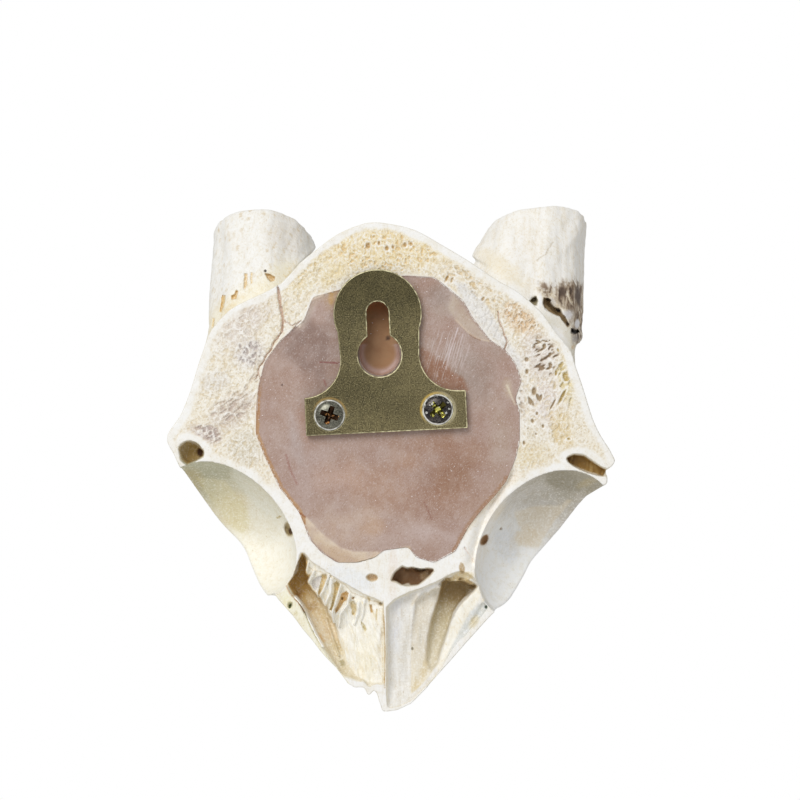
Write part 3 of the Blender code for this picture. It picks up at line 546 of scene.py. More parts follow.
# Each opening at the foot of a horn core: depth, colour and outline
HORN_MARKS = [
    (1.2, (214, 184, 134), line(264.6, 273.4, 269.4, 274.2, 275, 276.6, 274.4, 280.6, 270, 281.6,
     267.6, 279)),
    (0.7, (226, 198, 146), line(244.8, 273, 247.4, 274, 247, 281, 245.8, 289, 243.6, 289, 244.4, 281)),
    (0.5, (232, 210, 166), line(250.6, 272, 252.4, 273, 252.6, 283, 251, 284)),
    (0.9, (222, 190, 132), line(236.4, 290, 238.6, 291.4, 236.2, 299, 231.6, 299.6, 231, 296, 234.6, 294)),
    (0.8, (224, 194, 136), line(222.4, 294.6, 225.4, 296, 224.2, 306, 221.4, 312.6, 219.6, 311, 221, 303)),
    (0.5, (232, 210, 164), line(212.6, 318, 214.4, 319, 213.6, 328, 211.8, 328)),
    (1.4, (140, 130, 102), line(529.5, 300.7, 532.3, 298, 536.4, 296.4, 537.9, 300.3, 537, 305, 534.2, 305.2,
     531, 303.5)),
    (2.2, (134, 110, 76), line(543.9, 298, 548.4, 298.2, 551.5, 304, 553.8, 307, 557.3, 308.3, 560.1, 309.4,
     561, 312.2, 565, 316.7, 567.2, 321.2, 569.5, 325, 567.8, 327.4, 563.8, 322.2, 560, 316.4, 555.6, 314.9,
     549.7, 311.9, 544.4, 308, 542.8, 303.3)),
    (2.4, (36, 30, 28), line(571.2, 328.5, 574.5, 330.7, 578.4, 329.2, 579.3, 331.8, 575.2, 334,
     571.8, 331.8)),
]
points = places(bone)
where = seen(points)
facing = directions(bone)[:, 1] < 0.45
rough = cloud(points, 1.3 * MM, 12.0)
for name, spot, half, turn, sunk, start, _ in SMALL_HOLES:
    reach = photo_oval(where, spot, half, turn) + 0.2 * rough
    deep = (points[:, 1] - SAW_Y) / MM - start
    points[:, 1] += facing * (deep > -0.5) * step(13.0, 10.0, deep) * (1 - step(0.6, 1.15, reach)) * sunk * MM
    print("pressed in:", name)
move_to(bone, points)

# %% [markdown]
# ## Horn cores
# A horn core is dry bone with long shallow furrows, where vessels ran between the bone and the
# horn sheath, and with pores that are drawn out along it. The furrows follow the core, so they
# are laid out by the way round the core and the way along it.

# %% Horn cores
HORN_TILT = math.radians(31.0)
HORN_AXIS = np.array([0.0, math.sin(HORN_TILT), math.cos(HORN_TILT)])
HORN_FRONT = np.array([0.0, math.cos(HORN_TILT), -math.sin(HORN_TILT)])
HORN_TOPS = {"left": np.array([-30.4, 44.0, 40.8]) * MM, "right": np.array([34.6, 44.0, 41.6]) * MM}
HORN_LENGTH = 33.0 * MM


def along_horn(points, side):
    """The way along a horn core from its base, the way round it, and the distance from its axis."""
    offset = points - (HORN_TOPS[side] - HORN_AXIS * HORN_LENGTH)
    far = offset @ HORN_AXIS
    across = offset[:, 0]
    front = offset @ HORN_FRONT
    return far / MM, np.arctan2(front, across), np.hypot(front, across) / MM


def on_horn_points(points, side):
    """1 on a horn core and its pedicle, fading to 0 where they run into the brow."""
    far, turn, reach = along_horn(points, side)
    same_side = points[:, 0] < 0 if side == "left" else points[:, 0] > 0
    return same_side * step(-2.0, 6.0, far) * (reach < 21) * (points[:, 1] > SAW_Y + 8 * MM)


points = places(bone)
smooth_group = bone.vertex_groups.new(name="horns")
for side in ("left", "right"):
    on_side = on_horn_points(points, side) * step(4.0, 12.0, along_horn(points, side)[0])
    for share in (0.34, 0.67, 1.0):
        chosen = np.nonzero((on_side > share - 0.33) & (on_side <= share))[0]
        smooth_group.add(chosen.tolist(), share, "REPLACE")
finish_with(bone, "SMOOTH", factor=0.6, iterations=30, vertex_group="horns")
bone.vertex_groups.clear()
points = places(bone)
normals = directions(bone)
for side in ("left", "right"):
    far, turn, reach = along_horn(points, side)
    weight = on_horn_points(points, side) * step(0.0, 9.0, far)
    track = np.stack([np.cos(turn) * 6, np.sin(turn) * 6, far * 0.16], axis=1)
    furrow = np.abs(cloud(track, 1.0, 20.0 + (side == "left"), 2))
    fine = cloud(np.stack([np.cos(turn) * 12, np.sin(turn) * 12, far * 0.35], axis=1), 0.5, 22.0, 3)
    shift = -(0.13 * (1 - step(0.0, 0.35, furrow)) + 0.05 * fine)
    points += normals * (weight * shift * MM)[:, None]
move_to(bone, points)
print("horn cores furrowed")

# %% [markdown]
# ## Outlines of the horn cores
# The photograph looks along the horn cores, so their outlines as they are seen there are known
# well. For each direction round the middle of a core, the farthest point seen is compared with
# the drawn outline, and the core is drawn out or in by that share. Sculpting by hand would be
# less even, and the depth along the line of sight stays as the CAD has it.

# %% Outlines of the horn cores
OUTLINES = {
    "left": line(196, 384, 203, 352, 208.2, 334, 208, 317, 210, 280, 212, 233, 217, 224, 225, 216,
                 239, 211, 249, 209.6, 262, 209, 271, 209.6, 283, 213, 295, 219, 304, 226, 312, 235.5,
                 317, 244, 321, 253, 326, 264),
    "right": line(459, 283, 469, 261, 474, 250, 480, 240, 488, 228, 495, 220, 504, 214.5, 519, 209.6,
                  530, 207.6, 537, 206.6, 552, 205.6, 562, 206, 572, 208, 580, 211.6, 585, 216,
                  587.4, 222, 587, 240, 586, 254, 584.6, 275, 583.8, 292, 584, 310, 583.4, 325,
                  582.4, 338, 579, 344),
}
HORN_MIDDLES = {"left": (px(262, 300), 30, 214), "right": (px(530, 290), -44, 163)}
turns = np.radians(np.arange(-180, 180, 2))
for side, (middle, first, last) in HORN_MIDDLES.items():
    where = seen(points)
    offset = where - middle
    on_side = (points[:, 0] < 0) if side == "left" else (points[:, 0] > 0)
    on_side &= (points[:, 1] > SAW_Y + 6 * MM) & (where[:, 1] > px(0, 376)[1])
    angle = np.arctan2(offset[:, 1], offset[:, 0])
    far = np.hypot(*offset.T)
    now, goal = np.zeros(len(turns)), np.zeros(len(turns))
    starts, ends = np.array(OUTLINES[side][:-1]) - middle, np.array(OUTLINES[side][1:]) - middle
    for index, turn in enumerate(turns):
        apart = np.abs((angle - turn + math.pi) % (2 * math.pi) - math.pi)
        now[index] = np.max(far[on_side & (apart < 0.04)], initial=0.0)
        ray = np.array((math.cos(turn), math.sin(turn)))
        side_way = np.array((-math.sin(turn), math.cos(turn)))
        before, after = starts @ side_way, ends @ side_way
        cross = (before * after <= 0) & (before != after)
        share = (before[cross] / (before[cross] - after[cross]))[:, None]
        goal[index] = np.max((starts[cross] + share * (ends[cross] - starts[cross])) @ ray, initial=0.0)
    past = (np.degrees(turns) - first) % 360
    span = last - first
    fade = np.where(past < span, np.minimum(step(0, 8, past), step(0, 8, span - past)), 0) * (goal > 0)
    scale = 1 + fade * (np.clip(goal / np.maximum(now, 1e-6), 0.85, 1.18) - 1)
    scale = np.interp(angle, np.append(turns, math.pi), np.append(scale, scale[0]))
    weight = step(0.25, 0.85, far / np.interp(angle, np.append(turns, math.pi), np.append(now, now[0])))
    depth_scale = (points[:, 1] - EYE[1]) / (SAW_Y - EYE[1])
    shift = offset * ((scale - 1) * weight * on_side * depth_scale)[:, None] * MM
    points[:, [0, 2]] += shift
    print(side, "horn outline drawn out by up to", round(float(np.abs(shift).max() / MM), 2), "mm")

# %% [markdown]
# ## Trimmed sides
# Some bone still shows past the outline of the photograph: beside the horn cores, under the
# right one and along the side of the nose. Those points are drawn in to the nearest place of
# the outline, by nine tenths of the way, so that the surface stays smooth.

# %% Trimmed sides
NOSE_SIDE = line(
    262, 560, 278, 598.5, 294, 616.4, 303.4, 629.6, 311.8, 639.1, 321.3, 651.6, 326, 657, 337, 668.4,
    346.4, 681, 352, 690)
where = seen(points)
behind_rim = (points[:, 1] > SAW_Y + 3 * MM) & (where[:, 1] > px(0, 376)[1])
low_left = (where[:, 0] < px(350, 0)[0]) & (where[:, 0] > px(262, 0)[0])
low_left &= (where[:, 1] < px(0, 596)[1]) & (where[:, 1] > px(0, 684)[1])
RIGHT_SIDE = line(578, 340, 575, 346, 573.6, 352, 574.6, 366, 577.6, 382, 582, 399, 590, 418, 602, 440)
low_right = (points[:, 1] > SAW_Y + 1 * MM) & (where[:, 0] > px(560, 0)[0])
low_right &= (where[:, 1] < px(0, 344)[1]) & (where[:, 1] > px(0, 436)[1])
behind_left = behind_rim & (points[:, 0] < 0)
behind_right = behind_rim & (points[:, 0] > 0) & (where[:, 1] > px(0, 344)[1])
TRIMS = [
    (behind_left, OUTLINES["left"][:-1], line(326, 200, 400, 200, 400, 400, 196, 400)),
    (low_right, RIGHT_SIDE, line(500, 440, 500, 340)),
    (behind_right, OUTLINES["right"][1:], line(560, 400, 400, 400, 400, 200, 463, 200)),
    (low_left, NOSE_SIDE, line(400, 690, 400, 560, 262, 560)),
]
for chosen, outline, closing in TRIMS:
    chosen = chosen.copy()
    chosen[chosen] = ~inside(where[chosen], outline + closing) & (from_line(where[chosen], outline) < 4.0)
    spots = where[chosen]
    best, goal = np.full(len(spots), 1e9), spots.copy()
    for start, end in zip(outline, outline[1:]):
        along = np.subtract(end, start)
        foot = start + np.clip((spots - start) @ along / (along @ along), 0, 1)[:, None] * along
        far = np.hypot(*(spots - foot).T)
        goal[far < best] = foot[far < best]
        best = np.minimum(best, far)
    scale = ((points[chosen, 1] - EYE[1]) / (SAW_Y - EYE[1]))[:, None]
    points[np.ix_(chosen, [0, 2])] += 0.9 * (goal - spots) * scale * MM
    print("trimmed points:", int(chosen.sum()))
move_to(bone, points)
finish_with(bone, "SMOOTH", factor=0.5, iterations=1)

# %% [markdown]
# ## A new skin and a finer saw cut
# The second voxel remesh evens out the sculpted walls. The saw cut is then made flat again and
# its faces are divided once more, because its pores are only half a millimetre wide.

# %% A new skin and a finer saw cut
def corners_of(piece):
    """The vertex number at each corner of the faces, and each face's first corner."""
    corner_vertex = np.empty(len(piece.data.loops), dtype=int)
    piece.data.loops.foreach_get("vertex_index", corner_vertex)
    face_start = np.empty(len(piece.data.polygons), dtype=int)
    piece.data.polygons.foreach_get("loop_start", face_start)
    return corner_vertex, face_start


def edit_faces(piece, chosen, operator, **settings):
    """Run an editing operator on the chosen faces."""
    only(piece)
    bpy.ops.object.mode_set(mode="EDIT")
    bpy.ops.mesh.select_mode(type="FACE")
    bpy.ops.mesh.select_all(action="DESELECT")
    bpy.ops.object.mode_set(mode="OBJECT")
    piece.data.polygons.foreach_set("select", chosen)
    bpy.ops.object.mode_set(mode="EDIT")
    operator(**settings)
    bpy.ops.object.mode_set(mode="OBJECT")


def divide(piece, mask):
    """Divide the faces whose corners all lie in a mask of vertices."""
    corner_vertex, face_start = corners_of(piece)
    chosen = np.logical_and.reduceat(mask[corner_vertex], face_start)
    edit_faces(piece, chosen, bpy.ops.mesh.subdivide, number_cuts=1)
    return int(chosen.sum())


def on_saw(points, normals):
    """The points of the saw cut."""
    return (points[:, 1] < SAW_Y + 0.4 * MM) & (normals[:, 1] < -0.7)


finish_with(bone, "REMESH", mode="VOXEL", voxel_size=GRAIN)
finish_with(bone, "SMOOTH", factor=0.4, iterations=1)
points = places(bone)
normals = directions(bone)
where = seen(points)
scar = (normals[:, 1] < 0.3) & (points[:, 1] > SAW_Y + 8 * MM) & (
    (from_line(where, line(215, 320, 235, 295, 272, 276)) < 4.0)
    | (from_line(where, line(536, 300, 560, 300, 574, 325, 574, 345)) < 6.0))
picked = divide(bone, on_saw(points, normals) | nose_points(points, normals) | scar)
points = places(bone)
normals = directions(bone)
sawn = on_saw(points, normals)
points[sawn, 1] = SAW_Y
print("faces made finer:", picked, "now", len(bone.data.vertices), "vertices")

# %% [markdown]
# ## Torn edges
# The fins of the comb, the slots between them and the broken openings at the feet of the horn
# cores are finer than the skin was before, so they are pressed into it now. Smooth noise tears
# their outlines.

# %% Torn edges
where = seen(points)
nose = nose_points(points, normals) & ~sawn
spots = points[nose]
spot_where = where[nose]
torn = tear(spot_where, spots, 0.9, (15.0, 16.0), 0.16)
in_comb = area(torn, COMB)
threads = cloud(np.stack([spot_where[:, 0] + 0.35 * spot_where[:, 1], 0.16 * spot_where[:, 1],
                          spot_where[:, 1] * 0], axis=1), 0.42, 10.0, 2)
spots[:, 1] += in_comb * 0.35 * threads * MM
for sunk, _, edge in SLOTS:
    spots[:, 1] += area(torn, edge, 0.12) * in_comb * sunk * MM
for rise, half, path in FINS:
    spots[:, 1] -= stroke(torn, path, half, 0.6) * rise * MM
spots[:, 1] = np.maximum(spots[:, 1], SAW_Y + 0.05 * MM)
points[nose] = spots
on_horns = (normals[:, 1] < 0.3) & (points[:, 1] > SAW_Y + 8 * MM) & (points[:, 1] < SAW_Y + 28 * MM)
torn = tear(where, points, 0.8, (17.0, 18.0), 0.20)
for sunk, _, edge in HORN_MARKS:
    points[:, 1] += on_horns * area(torn, edge, 0.14) * sunk * MM
print("torn edges:", len(SLOTS), "slots,", len(FINS), "fins and", len(HORN_MARKS), "openings")

# %% [markdown]
# ## Rims of the saw cut
# The sawn bone has a hard white rim outside and a thinner one round the brain cavity. Between
# them lies spongy bone. Both rims are found by their distance, so `rim_far` is measured to the
# outer edge and `resin_far` to the outline of the resin.

# %% Rims of the saw cut
where = seen(points)
pairs = edges_of(bone)
rim_edges = sawn[pairs[:, 0]] != sawn[pairs[:, 1]]
rim_points = points[np.where(sawn[pairs[rim_edges, 0]], pairs[rim_edges, 0], pairs[rim_edges, 1])]
POCKET = [(-2.32, 12.19), (-2.75, 20.8)]
POCKET_REACH = 5.7
SCREW_PLACES = {"left": (-13.41, -1.14), "right": (10.56, 0.08)}
fill_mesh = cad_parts["braincase_fill"].data
fill_rim = np.array([(v.co.x / MM, v.co.z / MM) for v in fill_mesh.vertices if v.co.y < SAW_Y + 0.01 * MM])
outer = from_line(fill_rim, POCKET) > POCKET_REACH
for place in SCREW_PLACES.values():
    outer &= np.hypot(*(fill_rim - place).T) > 3.0
fill_rim = sorted({tuple(spot) for spot in np.round(fill_rim[outer], 2).tolist()},
                  key=lambda spot: math.atan2(spot[1], spot[0]))
resin_line = fill_rim + fill_rim[:1]
at_resin = from_line(seen(rim_points), resin_line) < 1.0
rim_far = np.zeros(len(points))
rim_far[sawn] = nearest(points[sawn], rim_points[~at_resin])
resin_far = from_line(where, resin_line)
print("rim points:", len(rim_points), "of which at the resin:", int(at_resin.sum()))

# %% [markdown]
# ## Spongy bone
# Between the rims the saw cut through trabeculae: a web of thin walls round small open cells.
# Smooth noise gives both: its zero lines close round patches of every shape, so they are the
# walls, and the patches between them are the pores. Each part of the cut has its own size of
# cell, its own direction, depth and colour, and the largest pores are placed one by one.

# %% Spongy bone
RIM_OUTER = 1.5
RIM_INNER = 0.8
# Each region: place, half sizes, turn, direction of the web, cell size, where pores open, depth,
# colour and darkness of the pores
SPONGE = [
    ((385, 340), (300, 220), 0, 60, (0.60, 0.95), 0.30, 0.16, (220, 204, 172), 0.55),
    ((385, 250), (90, 30), 0, 80, (0.62, 0.80), 0.30, 0.26, (222, 190, 134), 0.66),
    ((300, 268), (40, 16), 40, 40, (0.66, 0.90), 0.28, 0.24, (222, 198, 150), 0.60),
    ((475, 285), (46, 14), -35, -35, (0.7, 1.2), 0.30, 0.28, (216, 190, 144), 0.60),
    ((240, 325), (30, 24), 40, 50, (0.9, 1.6), 0.30, 0.16, (208, 196, 184), 0.45),
    ((250, 355), (17, 15), 40, 60, (0.75, 1.0), 0.30, 0.35, (178, 166, 162), 0.65),
    ((232, 408), (32, 17), 34, 33, (0.62, 2.4), 0.25, 0.30, (186, 168, 156), 0.62),
    ((250, 388), (12, 22), -35, 48, (0.7, 2.6), 0.28, 0.30, (190, 172, 156), 0.55),
    ((208, 433), (18, 11), -20, 20, (0.62, 0.9), 0.26, 0.30, (172, 154, 146), 0.65),
    ((520, 318), (26, 14), -34, 60, (0.6, 0.8), 0.27, 0.35, (220, 192, 154), 0.70),
    ((546, 356), (15, 26), 14, 30, (0.75, 1.5), 0.28, 0.6, (140, 114, 86), 0.80),
    ((513, 368), (11, 26), 8, 80, (0.9, 1.3), 0.34, 0.4, (204, 190, 166), 0.70),
    ((516, 402), (13, 22), 0, 115, (0.8, 1.4), 0.27, 0.45, (196, 180, 160), 0.75),
    ((562, 385), (10, 28), 8, 60, (0.8, 1.8), 0.32, 0.5, (202, 184, 132), 0.70),
    ((517, 430), (14, 18), 0, 90, (0.7, 1.0), 0.28, 0.5, (196, 164, 112), 0.72),
    ((556, 430), (16, 26), 12, 60, (0.9, 1.4), 0.34, 0.26, (218, 198, 154), 0.55),
]
# Each large pore: place, half sizes, turn and depth
PORES = [
    (368, 246, 2.3, 3.0, 0, 1.2), (379, 243, 1.6, 2.6, 0, 1.0), (387, 248, 2.0, 2.4, 0, 1.0),
    (393, 247, 1.4, 1.8, 0, 0.8), (405, 245, 1.6, 2.2, 0, 1.0), (411, 244, 1.4, 1.8, 0, 0.8),
    (447, 278, 1.4, 3.6, -25, 1.0), (452, 280, 1.2, 2.6, -25, 0.8), (483, 299, 1.6, 2.8, -30, 1.0),
    (565, 376, 2.6, 4.0, 0, 1.2), (562, 364, 1.8, 2.2, 0, 0.9),
    (562, 397, 1.4, 8.5, -28, 1.4), (553, 404, 1.0, 6.0, -28, 0.9), (531, 401, 1.6, 6.0, 35, 1.3),
    (538, 397, 1.5, 3.8, 20, 1.2), (541, 350, 6.5, 1.1, 28, 1.3), (538, 343, 5.0, 0.9, 22, 1.1),
    (549, 368, 3.4, 1.5, 20, 1.3), (556, 373, 1.4, 3.4, 0, 1.3), (545, 341, 4.0, 0.8, -14, 0.9),
    (538.5, 341.5, 2.8, 1.2, -20, 1.0), (544.4, 346, 1.8, 2.4, 0, 1.1), (550, 354, 2.2, 1.6, 20, 1.2),
    (550.5, 365, 2.2, 3.2, 10, 1.3), (560.5, 365.5, 2.0, 2.6, 0, 1.0), (566.5, 379, 2.6, 2.2, 0, 1.0),
    (526.8, 359.5, 2.2, 2.2, 0, 1.0), (527, 371.5, 1.8, 2.4, 0, 0.9),
    (534, 391, 2.6, 4.4, -12, 1.3), (530, 402, 1.8, 3.6, 20, 1.2), (540.5, 398, 1.5, 3.4, -20, 1.0),
    (532.5, 421, 1.8, 2.6, 20, 1.0), (543, 426, 1.4, 2.2, 0, 0.9), (537, 413.5, 1.4, 1.8, 0, 0.8),
    (536, 434, 1.2, 1.6, 0, 0.7), (569, 439, 1.8, 1.4, 0, 0.7),
    (524, 443, 1.3, 2.4, 0, 0.8), (558, 350, 1.2, 2.2, 20, 0.8),
    (240, 346, 1.6, 2.2, 0, 0.6), (247, 350, 1.4, 2.6, 30, 0.7), (253, 356, 1.5, 1.8, 0, 0.6),
    (243, 360, 1.8, 1.2, 0, 0.6), (204, 431, 1.6, 1.4, 0, 0.6), (212, 437, 1.2, 1.8, 20, 0.6),
]
wiggle = cloud(points, 2.5 * MM, 3.0)
bend_x = where[:, 0] + 0.30 * cloud(points, 1.5 * MM, 5.0) + 0.12 * cloud(points, 0.5 * MM, 7.0, 1)
bend_z = where[:, 1] + 0.30 * cloud(points, 1.5 * MM, 6.0) + 0.12 * cloud(points, 0.5 * MM, 8.0, 1)
band = sawn * step(RIM_OUTER - 0.5, RIM_OUTER + 0.6, rim_far + 0.9 * wiggle)
band *= step(RIM_INNER - 0.3, RIM_INNER + 0.5, resin_far + 0.4 * wiggle)
band *= step(-21.0, -16.0, where[:, 1] + 3 * wiggle)


def trabeculae(fibre, size, opening, seed):
    """Pores and walls from smooth noise: walls follow its zero lines, pores lie between them."""
    angle = math.radians(fibre)
    along = bend_x * math.cos(angle) + bend_z * math.sin(angle)
    across = bend_z * math.cos(angle) - bend_x * math.sin(angle)
    web = np.abs(cloud(np.stack([across / size[0], along / size[1], across * 0], axis=1), 1.0, seed, 2))
    return step(opening, opening + 0.16, web), 1 - step(0.02, 0.12, web)


depth = np.zeros(len(points))
pit = np.zeros(len(points))
wall = np.zeros(len(points))
ink = np.ones((len(points), 1)) * (214, 180, 124)
for index, (spot, half, turn, fibre, size, opening, sunk, colour, dark) in enumerate(SPONGE):
    weight = band * (1 - step(0.6, 1.05, photo_oval(where, spot, half, turn) + 0.35 * wiggle))
    hole, web = trabeculae(fibre, size, opening, 11.0 + index)
    depth = depth * (1 - weight) + weight * hole * sunk
    pit = pit * (1 - weight) + weight * hole * dark
    wall = wall * (1 - weight) + weight * web
    ink = ink + (np.array(colour, dtype=float) - ink) * weight[:, None]
PORE_SCALE = 0.24
bend_noise = cloud(points, 0.6 * MM, 9.0, 1)
for x, z, wide, high, turn, sunk in PORES:
    reach = photo_oval(where, (x, z), (wide, high), turn, PORE_SCALE) + 0.35 * wiggle + 0.15 * bend_noise
    hole = sawn * (1 - step(0.55, 1.1, reach))
    depth = np.maximum(depth, hole * sunk * 0.5)
    pit = np.maximum(pit, hole * 0.85)
    shade = (184, 148, 92)
    if z >= 300:
        shade = (176, 164, 160) if x < 300 else (158, 134, 100) if x < 556 else (186, 160, 92)
    wall = np.maximum(wall, sawn * (1 - step(0.15, 0.35, np.abs(reach - 1.35))))
    ink += (np.array(shade, dtype=float) - ink) * hole[:, None]
print("spongy bone:", int((pit > 0.3).sum()), "points lie in pores")

# %% [markdown]
# ## Sutures and cracks
# A suture is the seam where two bones have grown together. From behind, one has opened into a
# ragged gap. On the face side the seams run where the CAD's bones meet, so the nearest CAD node
# is looked up for each point from a slightly shifted place, and the shift makes them wander.

# %% Sutures and cracks
# Each crack: half width in millimetres, depth and path
GAPS = [
    (0.24, 1.2, line(278, 288, 279.5, 300, 281, 310, 283, 320, 283, 331)),
    (0.12, 0.5, line(276, 279, 278, 288)),
    (0.14, 0.7, line(283, 331, 275, 341, 269, 352, 260, 366, 256, 378)),
    (0.12, 0.6, line(301, 321, 292, 330, 283, 345, 272, 357, 264, 370)),
    (0.10, 0.4, line(284, 320, 292, 326, 300, 322)),
    (0.13, 0.7, line(498, 312, 499, 321, 503, 330, 507, 342, 504, 350)),
    (0.13, 0.7, line(464.6, 547, 469, 555, 477, 566)),
    (0.10, 0.4, line(258, 372, 262, 384, 268, 395)),
]
MIDLINE = line(382.8, 602, 383.2, 612, 384.4, 625, 385, 650, 384.6, 688)
crack = np.zeros(len(points))
shifted = tear(where, points, 1.1, (31.0, 32.0), 0.30)
for half, sunk, path in GAPS:
    ragged = half * (1 + 0.5 * wiggle)
    mask = sawn * (1 - step(0.6, 1.5, from_line(shifted, path) / ragged))
    depth = np.maximum(depth, mask * sunk)
    crack = np.maximum(crack, mask)
midline = (normals[:, 1] < 0.2) * (1 - step(0.05, 0.22, from_line(where + 0.12 * wiggle[:, None], MIDLINE)))
midline *= 0.45 + 0.55 * step(-0.3, 0.2, cloud(points * (0, 0, 1), 2.6 * MM, 34.0))
depth = np.maximum(depth, midline * 0.4)
points[:, 1] += depth * MM

node_points, node_faces, face_node = [], [], []
for index, name in enumerate(BONES):
    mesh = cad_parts[name].data
    start = len(node_points)
    node_points.extend(v.co.copy() for v in mesh.vertices)
    node_faces.extend([start + corner for corner in face.vertices] for face in mesh.polygons)
    face_node.extend([index] * len(mesh.polygons))
node_tree = BVHTree.FromPolygons(node_points, node_faces)
wander = 0.9 * MM * np.stack([cloud(points, 2.2 * MM, 33.0 + axis) for axis in range(3)], axis=1)
owner = np.array([face_node[node_tree.find_nearest(spot)[2]] for spot in points + wander])
seam_edges = owner[pairs[:, 0]] != owner[pairs[:, 1]]
seam_points = points[pairs[seam_edges, 0]]
on_face = step(0.1, 0.5, normals[:, 1]) * step(2.0, 4.0, (points[:, 1] - SAW_Y) / MM)
seam = np.zeros(len(points))
front = on_face > 0.01
seam[front] = 1 - step(0.12, 0.55, nearest(points[front], seam_points))
horn_seam = np.isin(owner, [BONES.index("horn_core_left"), BONES.index("horn_core_right")])
seam *= on_face * (1 - step(14.0, 18.0, points[:, 2] / MM) * horn_seam)
points -= normals * (seam * 0.35 * MM)[:, None]
print("seam points:", len(seam_points))

# %% [markdown]
# ## Lip of the right socket
# The saw ran out into the right eye socket, and its edge there is worn to a soft lip. The edge
# is leant back a little by its distance from a line, and smoothed, which a bevel couldn't do on
# such a fine mesh.

# %% Lip of the right socket
SOCKET_LIP = line(510, 474, 502, 484, 495, 496, 489, 508, 484, 522, 480, 536, 477, 550, 474, 562)
lip_far = from_line(where, SOCKET_LIP)
points[:, 1] += sawn * 1.9 * MM * np.clip(1 - lip_far / 2.6, 0, 1) ** 2 * step(0.3, 1.3, resin_far)
move_to(bone, points)
lip_near = (1 - step(0.8, 3.2, lip_far)) * (points[:, 1] < SAW_Y + 7 * MM)
lip_group = bone.vertex_groups.new(name="lip")
for index in np.flatnonzero(lip_near > 0.02).tolist():
    lip_group.add([index], float(lip_near[index]), "REPLACE")
finish_with(bone, "SMOOTH", factor=0.6, iterations=20, vertex_group="lip")
bone.vertex_groups.clear()
points = places(bone)
print("lip points:", int((lip_near > 0.02).sum()))

# %% [markdown]
# ## Colour of the bone
# Dry bone is cream with white hard rims, yellow where fat stayed in the spongy parts, brown in
# the deep chambers of the nose and black at the foot of one horn core. Each of these is a
# layer: a mask from 0 to 1 and a colour, painted over the layers before it and kept as one
# colour for each vertex. A picture would hold the same, but it would be data and not a design.

# %% Colour of the bone
WHITE = (248, 247, 244)
CREAM = (240, 235, 220)
paint = np.empty((len(points), 3))
paint[:] = CREAM
mottle = cloud(points, 3.0 * MM, 51.0)
streak = cloud(points * (1, 1, 0.25), 1.0 * MM, 52.0, 2)
grit = cloud(points, 0.55 * MM, 53.0, 2)
deep = (points[:, 1] - SAW_Y) / MM
faces_back = step(0.35, -0.05, normals[:, 1])
behind = faces_back * ~sawn


def layer(mask, colour):
    """Paint one colour over the others by a mask from 0 to 1."""
    paint[:] += (np.array(colour, dtype=float) - paint) * np.clip(mask, 0, 1)[:, None]


def spot_mask(spot, half, turn=0, soft=0.5, rough=0.25):
    """An oval with a soft, uneven edge, placed in the photograph's frame."""
    return 1 - step(1 - soft, 1 + soft * 0.3, photo_oval(where, spot, half, turn) + rough * mottle)


def spots_on(zone, rows):
    """Paint ovals on a zone: strength, place, half sizes, turn, softness, unevenness and colour."""
    for strength, spot, half, turn, soft, rough, colour in rows:
        layer(zone * strength * spot_mask(spot, half, turn, soft, rough), colour)


def fibres(angle, across, along, seed):
    """Smooth noise drawn out along a direction, with its sizes in millimetres."""
    turn = math.radians(angle)
    run = where[:, 0] * math.cos(turn) + where[:, 1] * math.sin(turn)
    side = where[:, 1] * math.cos(turn) - where[:, 0] * math.sin(turn)
    return cloud(np.stack([side / across, run / along, deep / 4], axis=1), 1.0, seed, 2)


def ramp(start, end):
    """From 0 at one place in the photograph's frame to 1 at another."""
    (ax, az), (bx, bz) = px(*start), px(*end)
    along = np.array([bx - ax, bz - az])
    return np.clip(((where[:, 0] - ax) * along[0] + (where[:, 1] - az) * along[1]) / (along @ along), 0, 1)


layer(0.4 + 0.5 * mottle, (232, 224, 204))
layer(0.7 * seam, (176, 146, 104))
print("ready to paint", len(points), "points")

# %% [markdown]
# ## Colour of the saw cut
# The cut is white at its hard rims and yellow, pink or grey between them, with white walls
# round darker pores. Each region of the spongy band has its own colour, laid on as soft ovals.

# %% Colour of the saw cut
layer(sawn, WHITE)
layer(sawn * step(-0.3, 0.7, mottle) * 0.6, (241, 236, 224))
layer(band, (240, 232, 214))
for spot, half, turn, colour, strength in [
        ((385, 245), (110, 34), 0, (239, 220, 172), 0.85), ((305, 275), (36, 18), 40, (236, 224, 190), 0.8),
        ((462, 282), (44, 16), -33, (236, 225, 202), 0.8), ((240, 322), (38, 22), 32, (224, 214, 205), 0.9),
        ((222, 340), (12, 24), -20, (238, 232, 222), 0.7), ((250, 354), (22, 18), 40, (220, 214, 212), 0.8),
        ((216, 382), (20, 14), 10, (231, 226, 218), 0.9), ((232, 412), (34, 18), 34, (212, 200, 188), 0.8),
        ((205, 434), (18, 10), -15, (204, 190, 186), 0.8), ((246, 448), (22, 22), 0, (216, 208, 190), 0.8),
        ((520, 320), (25, 15), -34, (228, 200, 164), 0.75), ((538, 356), (22, 28), 10, (222, 212, 206), 0.8),
        ((518, 372), (14, 26), 8, (234, 227, 218), 0.8), ((546, 402), (18, 32), 0, (228, 218, 213), 0.85),
        ((520, 405), (12, 34), 0, (236, 230, 224), 0.8),
        ((566, 378), (8, 26), 6, (228, 212, 160), 0.8), ((562, 430), (12, 26), 12, (230, 212, 172), 0.8),
        ((536, 432), (18, 18), 0, (232, 224, 208), 0.6), ((525, 456), (26, 14), 14, (232, 218, 184), 0.8)]:
    layer(band * strength * spot_mask(spot, half, turn, 0.6), colour)
layer(band * step(0.1, 0.7, grit) * 0.35, (248, 240, 220))
layer(wall * 0.85, (251, 249, 244))
paint += (ink - paint) * pit[:, None]
